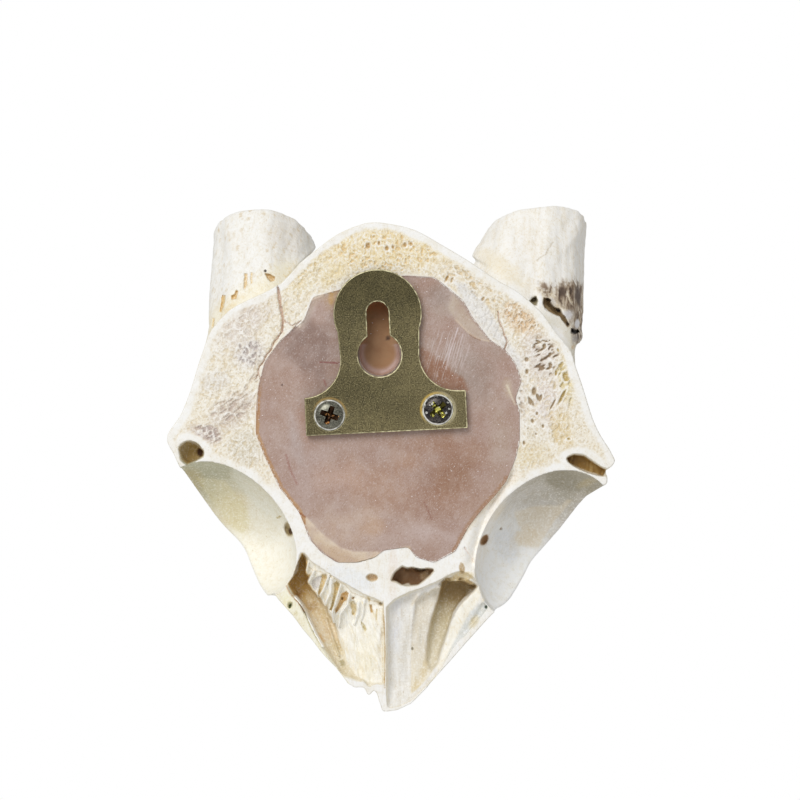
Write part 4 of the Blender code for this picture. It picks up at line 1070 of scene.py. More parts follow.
LEDGE = line(
    452, 280, 458, 291, 464, 302, 472, 314, 481, 327, 490, 337, 500, 345, 508, 352, 514, 362, 519, 372,
    522, 366, 516, 352, 508, 341, 500, 328, 492, 314, 482, 299, 466, 284)
ledge = sawn * area(where + 0.25 * wiggle[:, None], LEDGE, 0.6)
layer(ledge * 0.9, (233, 231, 228))
layer(ledge * step(0.0, 0.5, fibres(70, 0.4, 2.2, 65.0)) * 0.5, (216, 214, 214))
YELLOW_PATCH = line(320, 279, 334, 266, 345, 262, 345, 276, 332, 284, 324, 290)
layer(sawn * 0.8 * area(where, YELLOW_PATCH, 0.8), (236, 220, 178))
layer(sawn * (1 - step(0.05, 0.30, np.abs(resin_far - 0.25))) * step(9.0, 6.0, where[:, 0]) * 0.6,
      (252, 250, 244))
layer(crack * 0.8, (216, 188, 170))
layer(midline * 0.9, (196, 168, 118))
print("saw cut:", int(sawn.sum()), "points")

# %% [markdown]
# ## Colour of the eye sockets and corner holes
# The roofs of the eye sockets are smooth bone, painted grey and darker towards the sawn rim as
# painted shade. A ramp from the rim inwards gives that shade, and flakes of old varnish are
# outlined on top of it. The small hollow at each outer corner of the brow is brown with pale
# fibres, and fades with depth.

# %% Colour of the eye sockets and corner holes
LEFT_SOCKET = line(
    176, 462, 205, 458, 240, 466, 270, 490, 292, 516, 304, 545, 304, 565, 298, 585, 278, 606, 250, 580,
    225, 545, 176, 480)
RIGHT_SOCKET = line(
    500, 478, 530, 468, 560, 464, 606, 480, 596, 500, 560, 548, 528, 590, 494, 614, 478, 585, 470, 548,
    486, 520)
left_socket = area(where, LEFT_SOCKET, 0.5) * behind
right_socket = area(where, RIGHT_SOCKET, 0.5) * behind
fall = ramp((226, 462), (272, 585)) + 0.10 * mottle
layer(left_socket, (250, 247, 234))
# Painted shade: the left socket greyer and darker towards its top, under the sawn rim.
layer(left_socket * (1 - step(0.30, 0.70, fall)), (228, 220, 192))
layer(left_socket * (1 - step(0.02, 0.34, fall)), (190, 188, 162))
spots_on(left_socket, [
    (0.6, (237, 512), (16, 24), 25, 0.4, 0.5, (232, 219, 180)),
    (0.5, (190, 480), (16, 14), -40, 0.5, 0.25, (196, 178, 128)),
    (0.7, (262, 522), (20, 30), 25, 0.5, 0.25, (236, 232, 216))])
fall = ramp((560, 466), (496, 596)) + 0.12 * mottle
layer(right_socket, (250, 251, 250))
# Painted shade: the right socket greyer and darker towards its top, under the sawn rim.
layer(right_socket * (1 - step(0.25, 0.72, fall)), (208, 203, 194))
layer(right_socket * (1 - step(0.0, 0.32, fall)), (176, 169, 150))
spots_on(right_socket, [
    (0.6, (562, 480), (26, 12), -20, 0.5, 0.25, (160, 153, 134)),
    (0.7, (527, 537), (16, 11), 30, 0.4, 0.9, (232, 220, 198)),
    (0.7, (494, 510), (9, 18), -35, 0.5, 0.25, (240, 226, 202)),
    (0.5, (506, 545), (14, 20), 10, 0.5, 0.25, (232, 236, 242)),
    (0.5, (588, 482), (14, 5), 20, 0.7, 0.6, (206, 190, 150))])
PATCH = line(
    196, 477, 207, 478, 222, 480, 231, 487, 238, 496, 246, 508, 250, 521, 247, 530, 241, 533, 231, 525,
    222, 515, 208, 497)
layer(left_socket * area(where + 0.22 * wiggle[:, None], PATCH, 0.35) * 0.55, (228, 220, 182))
RIM_LIGHT = line(
    232, 466, 243, 471, 256, 482, 268, 494, 280, 509, 286, 517, 276, 520, 262, 514, 252, 502, 240, 489,
    231, 478)
layer(left_socket * area(where, RIM_LIGHT, 0.9) * 0.55, (236, 236, 224))
FLAKE = line(
    514, 512, 528, 508, 543, 505, 561, 506, 567, 499, 572, 500, 564, 510, 555, 520, 548, 531, 543, 539,
    538, 548, 526, 547, 516, 543, 514, 537, 524, 533, 518, 524)
layer(right_socket * area(where + 0.22 * wiggle[:, None], FLAKE, 0.35) * 0.6, (232, 220, 198))
# Painted light: the lip is lightened where its steep wall would be in shade.
lip = (right_socket + sawn * 0.8) * (1 - step(0.3, 3.6, from_line(where, SOCKET_LIP)))
layer(lip * 0.8, (252, 248, 240))
LINING = line(500, 486, 493, 496, 484, 506, 475, 516, 468, 524, 461, 535)
layer(sawn * 0.6 * (1 - step(0.4, 1.5, from_line(where, LINING))), (230, 216, 192))
layer((left_socket + right_socket) * step(0.45, 0.8, cloud(points, 1.4 * MM, 55.0)) * 0.5, (246, 242, 228))
in_corner = behind * step(16.0, 9.0, deep + 2 * mottle)
corner_left = area(where, LEFT_CORNER, 0.2) * in_corner
layer(corner_left, (168, 140, 84))
layer(corner_left * (0.5 + 0.5 * fibres(70, 0.5, 3.0, 56.0)), (190, 166, 108))
# Painted shade: a dark spot where the hole is deepest.
layer(corner_left * spot_mask((200, 452), (3.4, 4.4), 0, 0.4), (74, 46, 26))
# Painted light: the shallow left end of the hole is lighter.
layer(corner_left * (1 - ramp((176, 450), (190, 452))), (232, 224, 204))
corner_right = area(where, RIGHT_CORNER, 0.2) * in_corner
layer(corner_right, (146, 112, 56))
layer(corner_right * (1 - ramp((566, 458), (578, 463))) * 0.8, (96, 66, 34))
layer(corner_right * step(0.0, 0.6, fibres(80, 0.4, 3.0, 57.0)) * 0.7, (196, 166, 104))
print("sockets:", int((left_socket + right_socket > 0.5).sum()), "points")

# %% [markdown]
# ## Colour of the left nose
# The deep chamber is brown at the top and pale below, its comb of fins is white, and a pale
# strand of bone divides it from the side wall. Fibres drawn out along the walls give the grain.

# %% Colour of the left nose
nose_zone = faces_back * step(-28.0, -31.0, where[:, 1])
fall = ramp((300, 566), (345, 668)) + 0.16 * streak
chamber = area(where, LEFT_NOSE, 0.2) * ~sawn * nose_zone
layer(chamber, (226, 214, 184))
slope = fibres(-57, 0.55, 4.0, 58.0)
layer(chamber * (1 - step(0.55, 0.90, fall + 0.14 * slope)), (230, 214, 182))
layer(chamber * (1 - step(0.34, 0.62, fall + 0.14 * slope)), (230, 212, 174))
layer(chamber * (1 - step(0.12, 0.44, fall)), (208, 172, 100))
layer(chamber * step(0.0, 0.5, slope) * 0.6 * step(0.2, 0.4, fall), (238, 228, 204))
spots_on(chamber, [
    (0.6, (310, 606), (9, 8), 40, 0.9, 1.2, (176, 142, 92)),
    (0.5, (325, 612), (7, 12), 30, 0.9, 0.9, (206, 186, 142))])
layer(chamber * step(0.1, 0.6, -slope) * 0.3, (190, 156, 106))
layer(chamber * step(0.2, 0.8, grit) * 0.2, (160, 118, 66))
spots_on(chamber, [
    (0.7, (299, 594), (6, 8), -30, 0.9, 0.9, (150, 104, 62)),
    (0.8, (312, 622), (3.4, 9), 28, 0.8, 0.8, (238, 222, 196)),
    (0.8, (322, 628), (2.6, 11), 24, 0.9, 0.6, (240, 228, 204)),
    (0.7, (320.6, 638), (2.6, 6), 28, 0.8, 0.8, (228, 188, 132)),
    (0.7, (338, 645), (5, 8), 30, 0.8, 0.8, (204, 182, 134))])
comb = area(where, COMB, 0.25) * nose_zone * ~sawn
ripple_colour = fibres(-75, 0.4, 1.6, 73.0)
layer(comb, (250, 248, 240))
# Painted shade, faint, between the fins near the ridge.
near_ridge = 1 - step(2.5, 7.5, from_line(where, COMB_RIDGE[:-1]))
layer(comb * near_ridge * (0.25 + 0.3 * ripple_colour), (248, 242, 226))
layer(comb * step(0.1, 0.7, fibres(-70, 0.35, 2.5, 59.0)) * 0.45, (234, 216, 172))
layer(comb * 0.6 * spot_mask((368, 655), (14, 30), 0, 0.6), (248, 242, 222))
layer(comb * step(0.0, 0.5, fibres(-84, 0.45, 4.0, 66.0)) * 0.5 * step(-47.0, -50.0, where[:, 1]),
      (228, 218, 188))
torn = tear(where, points, 0.9, (15.0, 16.0), 0.16)
# The slot colours hold painted shade between the fins as well as their own tan.
for _, colour, edge in SLOTS:
    layer(comb * 0.95 * area(torn, edge, 0.14), colour)
RIDGE_LINE = line(307, 565, 313, 570, 320, 572, 333, 577.5, 345, 585, 352, 592, 361, 596, 372, 601, 380, 603)
ridge_shade = 1 - step(0.06, 0.20, from_line(torn + 0.15 * wiggle[:, None], RIDGE_LINE))
layer(nose_zone * ridge_shade * 0.35, (196, 172, 132))
spots_on(comb, [
    (1, (342.2, 598.6), (1.2, 1.8), 0, 0.5, 0.1, (104, 74, 34)),
    (0.8, (337, 588.5), (1.2, 1.8), 0, 0.5, 0.1, (226, 190, 136)),
    (0.8, (323.9, 577.5), (1.4, 1.6), 0, 0.5, 0.1, (206, 170, 112))])
for _, half, path in FINS:
    layer(comb * 0.8 * stroke(torn, path, half, 0.5), (252, 251, 246))
print("left nose:", int((chamber > 0.5).sum()), "points")

# %% [markdown]
# ## Colour of the right nose
# The two troughs are pale grey with upright streaks, and the large chamber beside them darkens
# to brown at its top. The bone between the chambers stays white.

# %% Colour of the right nose
inner = area(where, RIGHT_NOSE, 0.3) * ~sawn * nose_zone
upright = fibres(-88, 0.5, 5.0, 60.0)
layer(inner, (234, 232, 227))
layer(inner * step(0.0, 0.6, upright) * 0.5, (224, 218, 206))
layer(inner * step(0.1, 0.7, -upright) * 0.5, (246, 246, 244))
# The last oval is painted shade along the step beside the middle trough.
spots_on(inner, [
    (0.6, (397, 622), (7, 28), -6, 0.9, 0.6, (222, 224, 232)),
    (0.7, (406, 640), (4, 30), -8, 0.9, 0.6, (214, 209, 198)),
    (0.5, (414, 602), (3, 12), -28, 0.9, 0.6, (232, 218, 190)),
    (0.7, (413, 632), (2.4, 28), -4, 0.7, 0.4, (202, 196, 184))])
middle = area(where, MIDDLE_TROUGH, 0.2) * ~sawn * nose_zone
layer(middle, (226, 219, 204))
layer(middle * step(0.0, 0.6, upright) * 0.5, (206, 200, 184))
layer(middle * ramp((424, 640), (424, 690)), (236, 228, 208))
spots_on(middle, [
    (0.45, (425, 668), (4, 18), -8, 0.9, 0.9, (216, 192, 140)),
    (0.45, (416, 686), (5, 7), -20, 0.9, 0.9, (210, 184, 128))])
layer(middle * step(0.2, 0.8, -upright) * 0.4, (240, 236, 226))
fall = ramp((462, 584), (432, 662)) + 0.10 * streak
hollow = area(where, RIGHT_CHAMBER, 0.2) * ~sawn * nose_zone
layer(hollow, (220, 212, 190))
layer(hollow * (1 - step(0.35, 1.0, fall)), (204, 192, 160))
layer(hollow * (1 - step(0.05, 0.50, fall)), (166, 142, 100))
layer(hollow * step(0.2, 0.7, upright) * 0.4, (196, 188, 160))
layer(nose_zone * 0.8 * spot_mask((462, 577), (15, 5), 8, 0.4, 0.5), (230, 210, 164))
window = area(where, SIEVE_WINDOW, 0.2) * behind
# Painted shade: the window is dark brown inside; painted light makes its right wall lighter and the left
# darker.
layer(window, (132, 100, 70))
spots_on(window, [
    (0.8, (425, 575), (7, 5), 20, 0.6, 0.6, (204, 180, 144)),
    (0.5, (405, 574), (4, 5), 0, 0.6, 0.6, (164, 134, 104))])
WEDGE = line(
    274, 596, 284, 590, 288, 585, 293, 594, 300, 602, 308.5, 619, 316, 635, 322, 645, 330, 657, 337, 667,
    342, 675, 350, 684, 340, 684, 300, 640, 270, 604)
wedge = area(where, WEDGE, 0.3) * nose_zone
layer(wedge, (246, 242, 220))
layer(wedge * 0.7 * spot_mask((288, 603), (8, 9), 0, 0.8), (246, 240, 204))
layer(wedge * step(0.1, 0.7, fibres(-57, 0.4, 3.0, 72.0)) * 0.4, (232, 222, 190))
layer(nose_zone * stroke(where, FINS[0][2], (1.7, 1.4), 0.4), (254, 253, 247))
STRAND_SHADE = line(286.6, 586, 290, 593, 296, 600, 301.6, 607, 304.6, 612)
layer(nose_zone * stroke(torn, STRAND_SHADE, (0.8, 0.5), 0.5) * 0.6, (190, 148, 106))
layer(nose_zone * 0.6 * spot_mask((296, 613), (2, 3), 0, 0.7, 0.8), (210, 196, 146))
layer(chamber * (1 - comb) * spot_mask((342, 663), (3.4, 4.4), 20, 0.7, 0.6) * 0.7, (160, 146, 98))
RIGHT_RIDGE = line(470, 590, 480, 586, 482, 594, 466, 622, 450, 652, 440, 670, 436, 668, 444, 645, 456, 612)
ridge = area(where, RIGHT_RIDGE, 0.4) * nose_zone
layer(ridge, (250, 246, 234))
layer(ridge * step(0.2, 0.7, fibres(-56, 0.4, 2.5, 63.0)) * 0.45, (226, 204, 158))
# Painted shade: the flank is grey on facets turned away from the light.
RIGHT_FLANK = line(486, 600, 492, 610, 466, 640, 444, 664, 452, 645, 470, 612)
layer(area(where, RIGHT_FLANK, 0.4) * nose_zone * ~sawn, (222, 224, 222))
layer(nose_zone * 0.7 * spot_mask((474, 622), (5, 9), -30, 0.5), (220, 206, 170))
spots_on(nose_zone * sawn, [
    (0.8, (352, 578), (28, 12), -22, 0.5, 0.25, (238, 240, 242)),
    (0.5, (393, 575), (6, 30), 0, 0.4, 0.25, (236, 224, 212))])
spots_on(nose_zone, [
    (0.8, (462, 568), (3, 6), 8, 0.4, 0.25, (170, 138, 88)),
    (0.9, (372.5, 577.5), (6, 3.4), -5, 0.4, 0.1, (206, 176, 134))])
print("right nose:", int((inner > 0.5).sum()), "points")

# %% [markdown]
# ## Colour of the horn cores
# Horn cores dry out whiter than the brow. The left one has rows of drawn-out flecks, laid out
# by the way along and round it, and both yellow at the foot, where the horn sheath ended.

# %% Colour of the horn cores
horn_zone = np.maximum(on_horn_points(points, "left"), on_horn_points(points, "right"))
left_horn = on_horn_points(points, "left") * faces_back
right_horn = on_horn_points(points, "right") * faces_back
layer(horn_zone, (246, 245, 241))
far, turn, _ = along_horn(points, "left")
near, number = cells(turn * 12.0 / 1.5 + 0.5 * wiggle, far / 2.6 + 0.4 * wiggle, 61.0)
fleck = left_horn * (1 - step(0.10, 0.36, near + 0.2 * grit)) * (number < 0.30)
fleck = fleck * (0.5 + 0.5 * step(0.0, 0.4, mottle))
layer(left_horn * 0.6 * spot_mask((285, 235), (26, 26), 0, 0.8, 0.6), (234, 228, 220))
layer(fleck * 0.75, (214, 194, 160))
furrow = fibres(80, 0.42, 2.4, 74.0)
layer(left_horn * step(0.25, 0.7, furrow) * 0.5, (226, 214, 192))
layer(left_horn * step(0.3, 0.8, -furrow) * 0.5, (254, 254, 252))
layer(left_horn * step(0.1, 0.8, mottle) * 0.3, (234, 227, 212))
foot = 1 - step(1.0, 5.5, from_line(where, line(206, 345, 226, 318, 262, 296, 288, 276)) + 1.5 * streak)
layer(left_horn * foot * 0.8, (248, 240, 214))
layer(left_horn * foot * step(0.1, 0.6, streak) * 0.5, (232, 206, 150))
far, turn, _ = along_horn(points, "right")
grain = cloud(np.stack([np.cos(turn) * 14, np.sin(turn) * 14, far * 0.12], axis=1), 0.7, 62.0, 2)
layer(right_horn, (253, 251, 246))
layer(right_horn * step(0.0, 0.7, grain) * 0.5, (238, 228, 210))
layer(right_horn * step(0.25, 0.7, fibres(84, 0.30, 2.6, 75.0)) * 0.45, (230, 220, 198))
layer(right_horn * step(0.45, 0.8, cloud(points, 0.8 * MM, 76.0)) * 0.5, (224, 206, 172))
layer(right_horn * 0.6 * spot_mask((502, 268), (36, 12), -35, 0.7), (246, 234, 206))
print("horn cores:", int((horn_zone > 0.5).sum()), "points")

# %% [markdown]
# ## The scorch mark
# At the foot of the right horn core dirt has baked on, round a torn opening. A ragged outline
# holds it, fibres along the core break it up, and a few dark and pale spots finish it.

# %% The scorch mark
SCORCH = line(
    540, 283, 546, 286, 552, 283, 558, 287, 563, 280, 569, 284, 574, 279, 579, 285, 584, 284, 586, 300,
    584, 330, 580, 346, 574, 343, 573, 331, 571, 319, 567, 309, 561, 303, 554, 301, 547, 296, 541, 291)
upright_noise = 2.0 * cloud(points * (1, 1, 0.4), 0.8 * MM, 68.0)
ragged = where + 0.5 * np.stack([cloud(points, 1.6 * MM, 67.0), upright_noise], axis=1)
foot_zone = behind * step(37.0, 27.0, deep + 6 * streak) * (deep > 5) * (where[:, 0] > px(536, 0)[0])
scorch = foot_zone * area(ragged, SCORCH, 1.0) * step(-0.7, 0.0, streak + 0.6 * grit)
speck = cloud(points, 0.5 * MM, 69.0, 2)
layer(right_horn * 0.7 * area(ragged + (0, 1.4), SCORCH, 1.2), (222, 204, 172))
soot = fibres(86, 0.34, 2.2, 77.0)
layer(scorch * 0.9, (186, 168, 146))
layer(scorch * step(-0.4, 0.3, soot + 0.5 * speck) * 0.8, (116, 94, 74))
layer(scorch * step(0.2, 0.7, -soot) * 0.5, (214, 200, 178))
layer(scorch * step(0.15, 0.6, soot + 0.4 * speck) * 0.8, (66, 52, 42))
spots_on(foot_zone, [
    (0.85, (563, 290), (3.6, 7), 0, 0.9, 0.9, (92, 76, 66)),
    (0.4, (573, 308), (7, 6), 30, 0.9, 0.9, (126, 106, 88))])
# Painted light: the side beside the scorch is lightened to near white where it would lie in shade.
layer(~sawn * step(24.0, 14.0, deep) * spot_mask((560, 336), (15, 12), -50, 0.7, 0.4), (255, 253, 249))
spots_on(foot_zone, [
    (0.85, (578, 297), (4, 10), 6, 0.9, 0.9, (88, 74, 66)),
    (0.7, (544, 286), (3, 3.4), 0, 0.9, 0.8, (140, 118, 100)),
    (1, (540.4, 302), (2, 10), 0, 0.5, 0.3, (240, 241, 243)),
    (0.9, (568, 315), (6.4, 6), -40, 0.6, 0.5, (224, 222, 224)),
    (0.8, (553, 302), (2.6, 4.6), 35, 0.5, 0.5, (226, 220, 212)),
    (0.8, (575, 338), (5, 6.4), 0, 0.8, 0.7, (168, 162, 160))])
layer(foot_zone * spot_mask((575, 334), (5, 9), 0, 0.8, 0.7) * step(-0.1, 0.4, speck), (92, 84, 82))
layer(foot_zone * spot_mask((573, 331), (3.4, 4.4), -30, 0.6, 0.6) * 0.9, (44, 38, 36))
layer(foot_zone * step(19.0, 12.0, deep) * spot_mask((574.5, 347), (3.4, 3), 0, 0.5, 0.4), (206, 158, 100))
hair_crack = from_line(shifted, line(553, 242, 545, 255, 527, 268))
layer(foot_zone * 0.5 * (1 - step(0.08, 0.24, hair_crack)), (190, 174, 146))
torn = tear(where, points, 0.8, (17.0, 18.0), 0.20)
for _, colour, edge in HORN_MARKS:
    layer(behind * (deep > 7) * step(30.0, 24.0, deep) * 0.95 * area(torn, edge, 0.16), colour)
spots_on(foot_zone, [
    (1, (558.4, 310.4), (2.8, 2), -30, 0.4, 0.3, (44, 34, 26)),
    (1, (548.6, 299.6), (3, 1.4), -20, 0.4, 0.3, (66, 50, 34)),
    (0.7, (548.6, 307), (3.4, 2), -30, 0.6, 0.3, (156, 136, 102)),
    (0.8, (567.4, 323.6), (1.5, 2.6), 20, 0.4, 0.3, (62, 48, 38)),
    (1, (577, 324), (2.6, 5.2), -8, 0.4, 0.2, (236, 235, 238))])
print("scorched:", int((scorch > 0.5).sum()), "points")

# %% [markdown]
# ## Colour of the small holes
# Each hole for a nerve or vessel is painted darker inside: a tan rim, and painted shade deeper in.
# A last thin layer of pale grit goes over the whole back, and the spongy band is kept as a value,
# because its material shows a finer web.

# %% Colour of the small holes
# Painted shade: each hole darker inside.
for _, spot, half, turn, _, start, colour in SMALL_HOLES:
    mask = spot_mask(spot, (half[0] * 1.05, half[1] * 1.05), turn, 0.3, 0.1)
    layer(mask * behind * (deep > start - 0.5) * step(13.0, 10.0, deep - start) * 0.95, colour)
layer(behind * step(0.35, 0.8, grit) * 0.15, (246, 243, 236))
sponge = band * (0.55 + 0.35 * step(-0.2, 0.5, mottle)) * (1 - pit)
print("colours painted on", len(points), "points")

# %% [markdown]
# ## Helpers for materials
# Every finish here is built the same way: a base colour, and over it a few colours that each
# come up where a noise or a value rises. `tint` lays one of those over the colour so far.

# %% Helpers for materials
def screen(red, green, blue):
    """A shader colour from its 0 to 255 screen values."""
    return tuple(((v / 255 + 0.055) / 1.055) ** 2.4 if v > 10 else v / 255 / 12.92
                 for v in (red, green, blue))


def new_node(tree, kind, **settings):
    """Add a node. Settings are properties, or sockets where the name starts with a capital."""
    node = tree.nodes.new(kind)
    for key, value in settings.items():
        if key[0].isupper():
            node.inputs[key.replace("_", " ")].default_value = value
        else:
            setattr(node, key, value)
    return node


def attribute_of(tree, name, output="Fac"):
    """A value or colour that was stored on the vertices."""
    return new_node(tree, "ShaderNodeAttribute", attribute_name=name).outputs[output]


def mix_colour(tree, factor, first, second, blend="MIX"):
    """Mix two colours, each a socket or a plain colour, by a socket or a number."""
    node = new_node(tree, "ShaderNodeMix", data_type="RGBA", blend_type=blend)
    colours = [socket for socket in node.inputs if socket.type == "RGBA"]
    for socket, value in zip([node.inputs[0]] + colours, (factor, first, second)):
        if isinstance(value, bpy.types.NodeSocket):
            tree.links.new(value, socket)
        else:
            socket.default_value = (*value, 1) if isinstance(value, tuple) else value
    return [socket for socket in node.outputs if socket.type == "RGBA"][0]


def remap(tree, value, low, high, first=0.0, second=1.0):
    """A soft step from first to second while a value goes from low to high."""
    node = new_node(tree, "ShaderNodeMapRange")
    node.interpolation_type = "SMOOTHSTEP"
    tree.links.new(value, node.inputs["Value"])
    for key, number in (("From Min", low), ("From Max", high), ("To Min", first), ("To Max", second)):
        node.inputs[key].default_value = number
    return node.outputs["Result"]


def times(tree, first, second, operation="MULTIPLY"):
    """Multiply two values, each a socket or a number, or use another operation on them."""
    node = new_node(tree, "ShaderNodeMath", operation=operation)
    for socket, value in zip(node.inputs, (first, second)):
        if isinstance(value, bpy.types.NodeSocket):
            tree.links.new(value, socket)
        else:
            socket.default_value = value
    return node.outputs["Value"]


def noise_of(tree, size, detail=2.0, stretch=(1, 1, 1), turn=0.0):
    """Smooth noise on object coordinates, with features of about that many millimetres."""
    place = tree.nodes.new("ShaderNodeTexCoord")
    mapping = new_node(tree, "ShaderNodeMapping", vector_type="TEXTURE")
    mapping.inputs["Rotation"].default_value = (0, math.radians(turn), 0)
    mapping.inputs["Scale"].default_value = tuple(size * MM * share for share in stretch)
    noise = new_node(tree, "ShaderNodeTexNoise", Scale=1.0, Detail=detail)
    tree.links.new(place.outputs["Object"], mapping.inputs["Vector"])
    tree.links.new(mapping.outputs["Vector"], noise.inputs["Vector"])
    return noise.outputs["Fac"]


def tint(tree, colour, value, low, high, strength, rgb, blend="MIX"):
    """Lay a screen colour over another where a value goes from low to high."""
    shade = times(tree, remap(tree, value, low, high), strength)
    return mix_colour(tree, shade, colour, screen(*rgb), blend)


def dots_of(tree, size):
    """Scattered points on object coordinates, about that many millimetres apart."""
    place = tree.nodes.new("ShaderNodeTexCoord")
    dots = new_node(tree, "ShaderNodeTexVoronoi", Scale=1 / (size * MM))
    tree.links.new(place.outputs["Object"], dots.inputs["Vector"])
    return dots


print("helpers for materials are ready")

# %% [markdown]
# ## Grain of dry bone
# One node group makes the fine grain of dry bone from the painted colours: a soft mottle, tiny
# pores, a web in the spongy band and a slightly uneven gloss. It is built once and used by three
# materials, for heavy bone, for the furrowed horn cores and for the thin bones of the nose.

# %% Grain of dry bone
grain_group = bpy.data.node_groups.new("bone_grain", "ShaderNodeTree")
SOCKETS = [
    ("Paint", "Color", "INPUT"), ("Mottle", "Float", "INPUT"), ("Sponge", "Float", "INPUT"),
    ("Streak", "Float", "INPUT"), ("Colour", "Color", "OUTPUT"), ("Roughness", "Float", "OUTPUT"),
    ("Height", "Float", "OUTPUT"),
]
for name, kind, way in SOCKETS:
    grain_group.interface.new_socket(name, in_out=way, socket_type="NodeSocket" + kind)
tree = grain_group
given = tree.nodes.new("NodeGroupInput").outputs
result = tree.nodes.new("NodeGroupOutput").inputs
soft_noise = noise_of(tree, 1.3, 3.0)
fine_noise = noise_of(tree, 0.42, 2.0)
pores = dots_of(tree, 0.55).outputs["Distance"]
colour = tint(tree, given["Paint"], soft_noise, 0.40, 0.68, given["Mottle"], (236, 226, 202), "MULTIPLY")
bright = tree.nodes.new("ShaderNodeRGBToBW")
tree.links.new(given["Paint"], bright.inputs["Color"])
lighten = remap(tree, bright.outputs["Val"], 0.20, 0.55)
colour = tint(tree, colour, fine_noise, 0.52, 0.66, times(tree, lighten, 0.40), (252, 250, 244))
colour = tint(tree, colour, fine_noise, 0.46, 0.32, 0.35, (244, 240, 230), "MULTIPLY")
in_patches = times(tree, remap(tree, soft_noise, 0.50, 0.62), 0.5)
colour = tint(tree, colour, pores, 0.24, 0.10, in_patches, (208, 186, 150), "MULTIPLY")
web = times(tree, times(tree, noise_of(tree, 0.95, 2.5), 0.5, "SUBTRACT"), 0.0, "ABSOLUTE")
hollow_mask = times(tree, remap(tree, web, 0.075, 0.125), given["Sponge"])
wall_mask = times(tree, remap(tree, web, 0.024, 0.004), times(tree, lighten, given["Sponge"]))
colour = mix_colour(tree, times(tree, hollow_mask, 0.50), colour, screen(224, 210, 186), "MULTIPLY")
colour = mix_colour(tree, times(tree, wall_mask, 0.60), colour, screen(254, 252, 247))
streaks = noise_of(tree, 0.34, 2.0, (1, 1, 7))
colour = tint(tree, colour, streaks, 0.54, 0.68, given["Streak"], (232, 218, 190), "MULTIPLY")
light_streak = times(tree, lighten, given["Streak"])
colour = tint(tree, colour, streaks, 0.46, 0.32, light_streak, (254, 253, 250))
height = times(tree, times(tree, fine_noise, 0.5), times(tree, hollow_mask, 0.8), "SUBTRACT")
tree.links.new(colour, result["Colour"])
tree.links.new(remap(tree, soft_noise, 0.3, 0.7, 0.52, 0.74), result["Roughness"])
tree.links.new(height, result["Height"])
print("grain group:", len(tree.nodes), "nodes")

# %% [markdown]
# ## Bone materials
# The three kinds of bone differ only in how strongly they are mottled, streaked and rough.

# %% Bone materials
def new_material(name):
    """A material, its nodes and its shader."""
    material = bpy.data.materials.new(name)
    material.use_nodes = True
    return material, material.node_tree, material.node_tree.nodes["Principled BSDF"]


def wire(tree, shader, **results):
    """Link results to a shader's sockets, which are named with _ for a space."""
    for key, value in results.items():
        tree.links.new(value, shader.inputs[key.replace("_", " ")])


def bump_of(tree, height, strength, distance):
    """Fine relief for a shader."""
    bump = new_node(tree, "ShaderNodeBump", Strength=strength, Distance=distance * MM)
    tree.links.new(height, bump.inputs["Height"])
    return bump.outputs["Normal"]


def bone_material(name, mottle, streaks, bump):
    """Dry bone, from the painted colours and the shared grain."""
    material, tree, shader = new_material(name)
    group = new_node(tree, "ShaderNodeGroup", node_tree=grain_group)
    group.inputs["Mottle"].default_value = mottle
    group.inputs["Streak"].default_value = streaks
    tree.links.new(attribute_of(tree, "sponge"), group.inputs["Sponge"])
    tree.links.new(attribute_of(tree, "paint", "Color"), group.inputs["Paint"])
    wire(tree, shader, Base_Color=group.outputs["Colour"], Roughness=group.outputs["Roughness"],
         Normal=bump_of(tree, group.outputs["Height"], bump, 0.12))
    shader.inputs["Specular IOR Level"].default_value = 0.35
    return material


BONE_LOOKS = {"bone": bone_material("dry_bone", 0.25, 0.06, 0.6),
              "horn_bone": bone_material("horn_core_bone", 0.25, 0.30, 0.8),
              "thin_bone": bone_material("thin_nose_bone", 0.20, 0.18, 0.5)}
print("bone materials are ready")

# %% [markdown]
# ## Bone pieces
# The fused bone is cut into pieces along its sutures, one for each bone of the CAD. The frontal
# bones are the largest, so their brows, farther than BROW_DEPTH millimetres from the saw cut,
# are pieces of their own. The normals of the whole are kept, so that no seam shows.

# %% Bone pieces
BROW_DEPTH = 12.0
PIECES = {
    "frontal_left_bone": (["frontal_left"], "bone"), "frontal_right_bone": (["frontal_right"], "bone"),
    "frontal_left_brow": (["frontal_left"], "bone"), "frontal_right_brow": (["frontal_right"], "bone"),
    "parietal_bone": (["parietal"], "bone"), "sieve_bone": (["ethmoid"], "thin_bone"),
    "nose_left_bone": (["nasal_left", "lacrimal_left"], "thin_bone"),
    "nose_right_bone": (["nasal_right", "lacrimal_right", "nasal_septum"], "thin_bone"),
    "horn_left_bone": (["horn_core_left"], "horn_bone"),
    "horn_right_bone": (["horn_core_right"], "horn_bone"),
}


def keep_colour(piece, name, colours):
    """Store one colour for each vertex, given as 0 to 255 screen values."""
    share = np.clip(colours / 255, 0, 1)
    linear = np.where(share > 0.04, ((share + 0.055) / 1.055) ** 2.4, share / 12.92)
    layer_data = piece.data.color_attributes.new(name, "FLOAT_COLOR", "POINT")
    values = np.hstack([linear, np.ones((len(linear), 1))]).astype(np.float32)
    layer_data.data.foreach_set("color", values.ravel())


def keep_face_mask(piece, name, mask):
    """Store 1 on the corners of some faces and 0 on the others, so that the edge stays sharp."""
    counts = [len(face.vertices) for face in piece.data.polygons]
    values = np.repeat(np.array(mask, dtype=np.float32), counts)
    piece.data.attributes.new(name, "FLOAT", "CORNER").data.foreach_set("value", values)


def finish_piece(piece, material, nodes):
    """Give a piece its material, and tell the frame what it stands for."""
    piece.data.materials.clear()
    piece.data.materials.append(material)
    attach(piece, "root")
    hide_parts(*nodes)
    triangles = sum(len(face.vertices) - 2 for face in piece.data.polygons)
    print(piece.name, "has", triangles, "triangles")


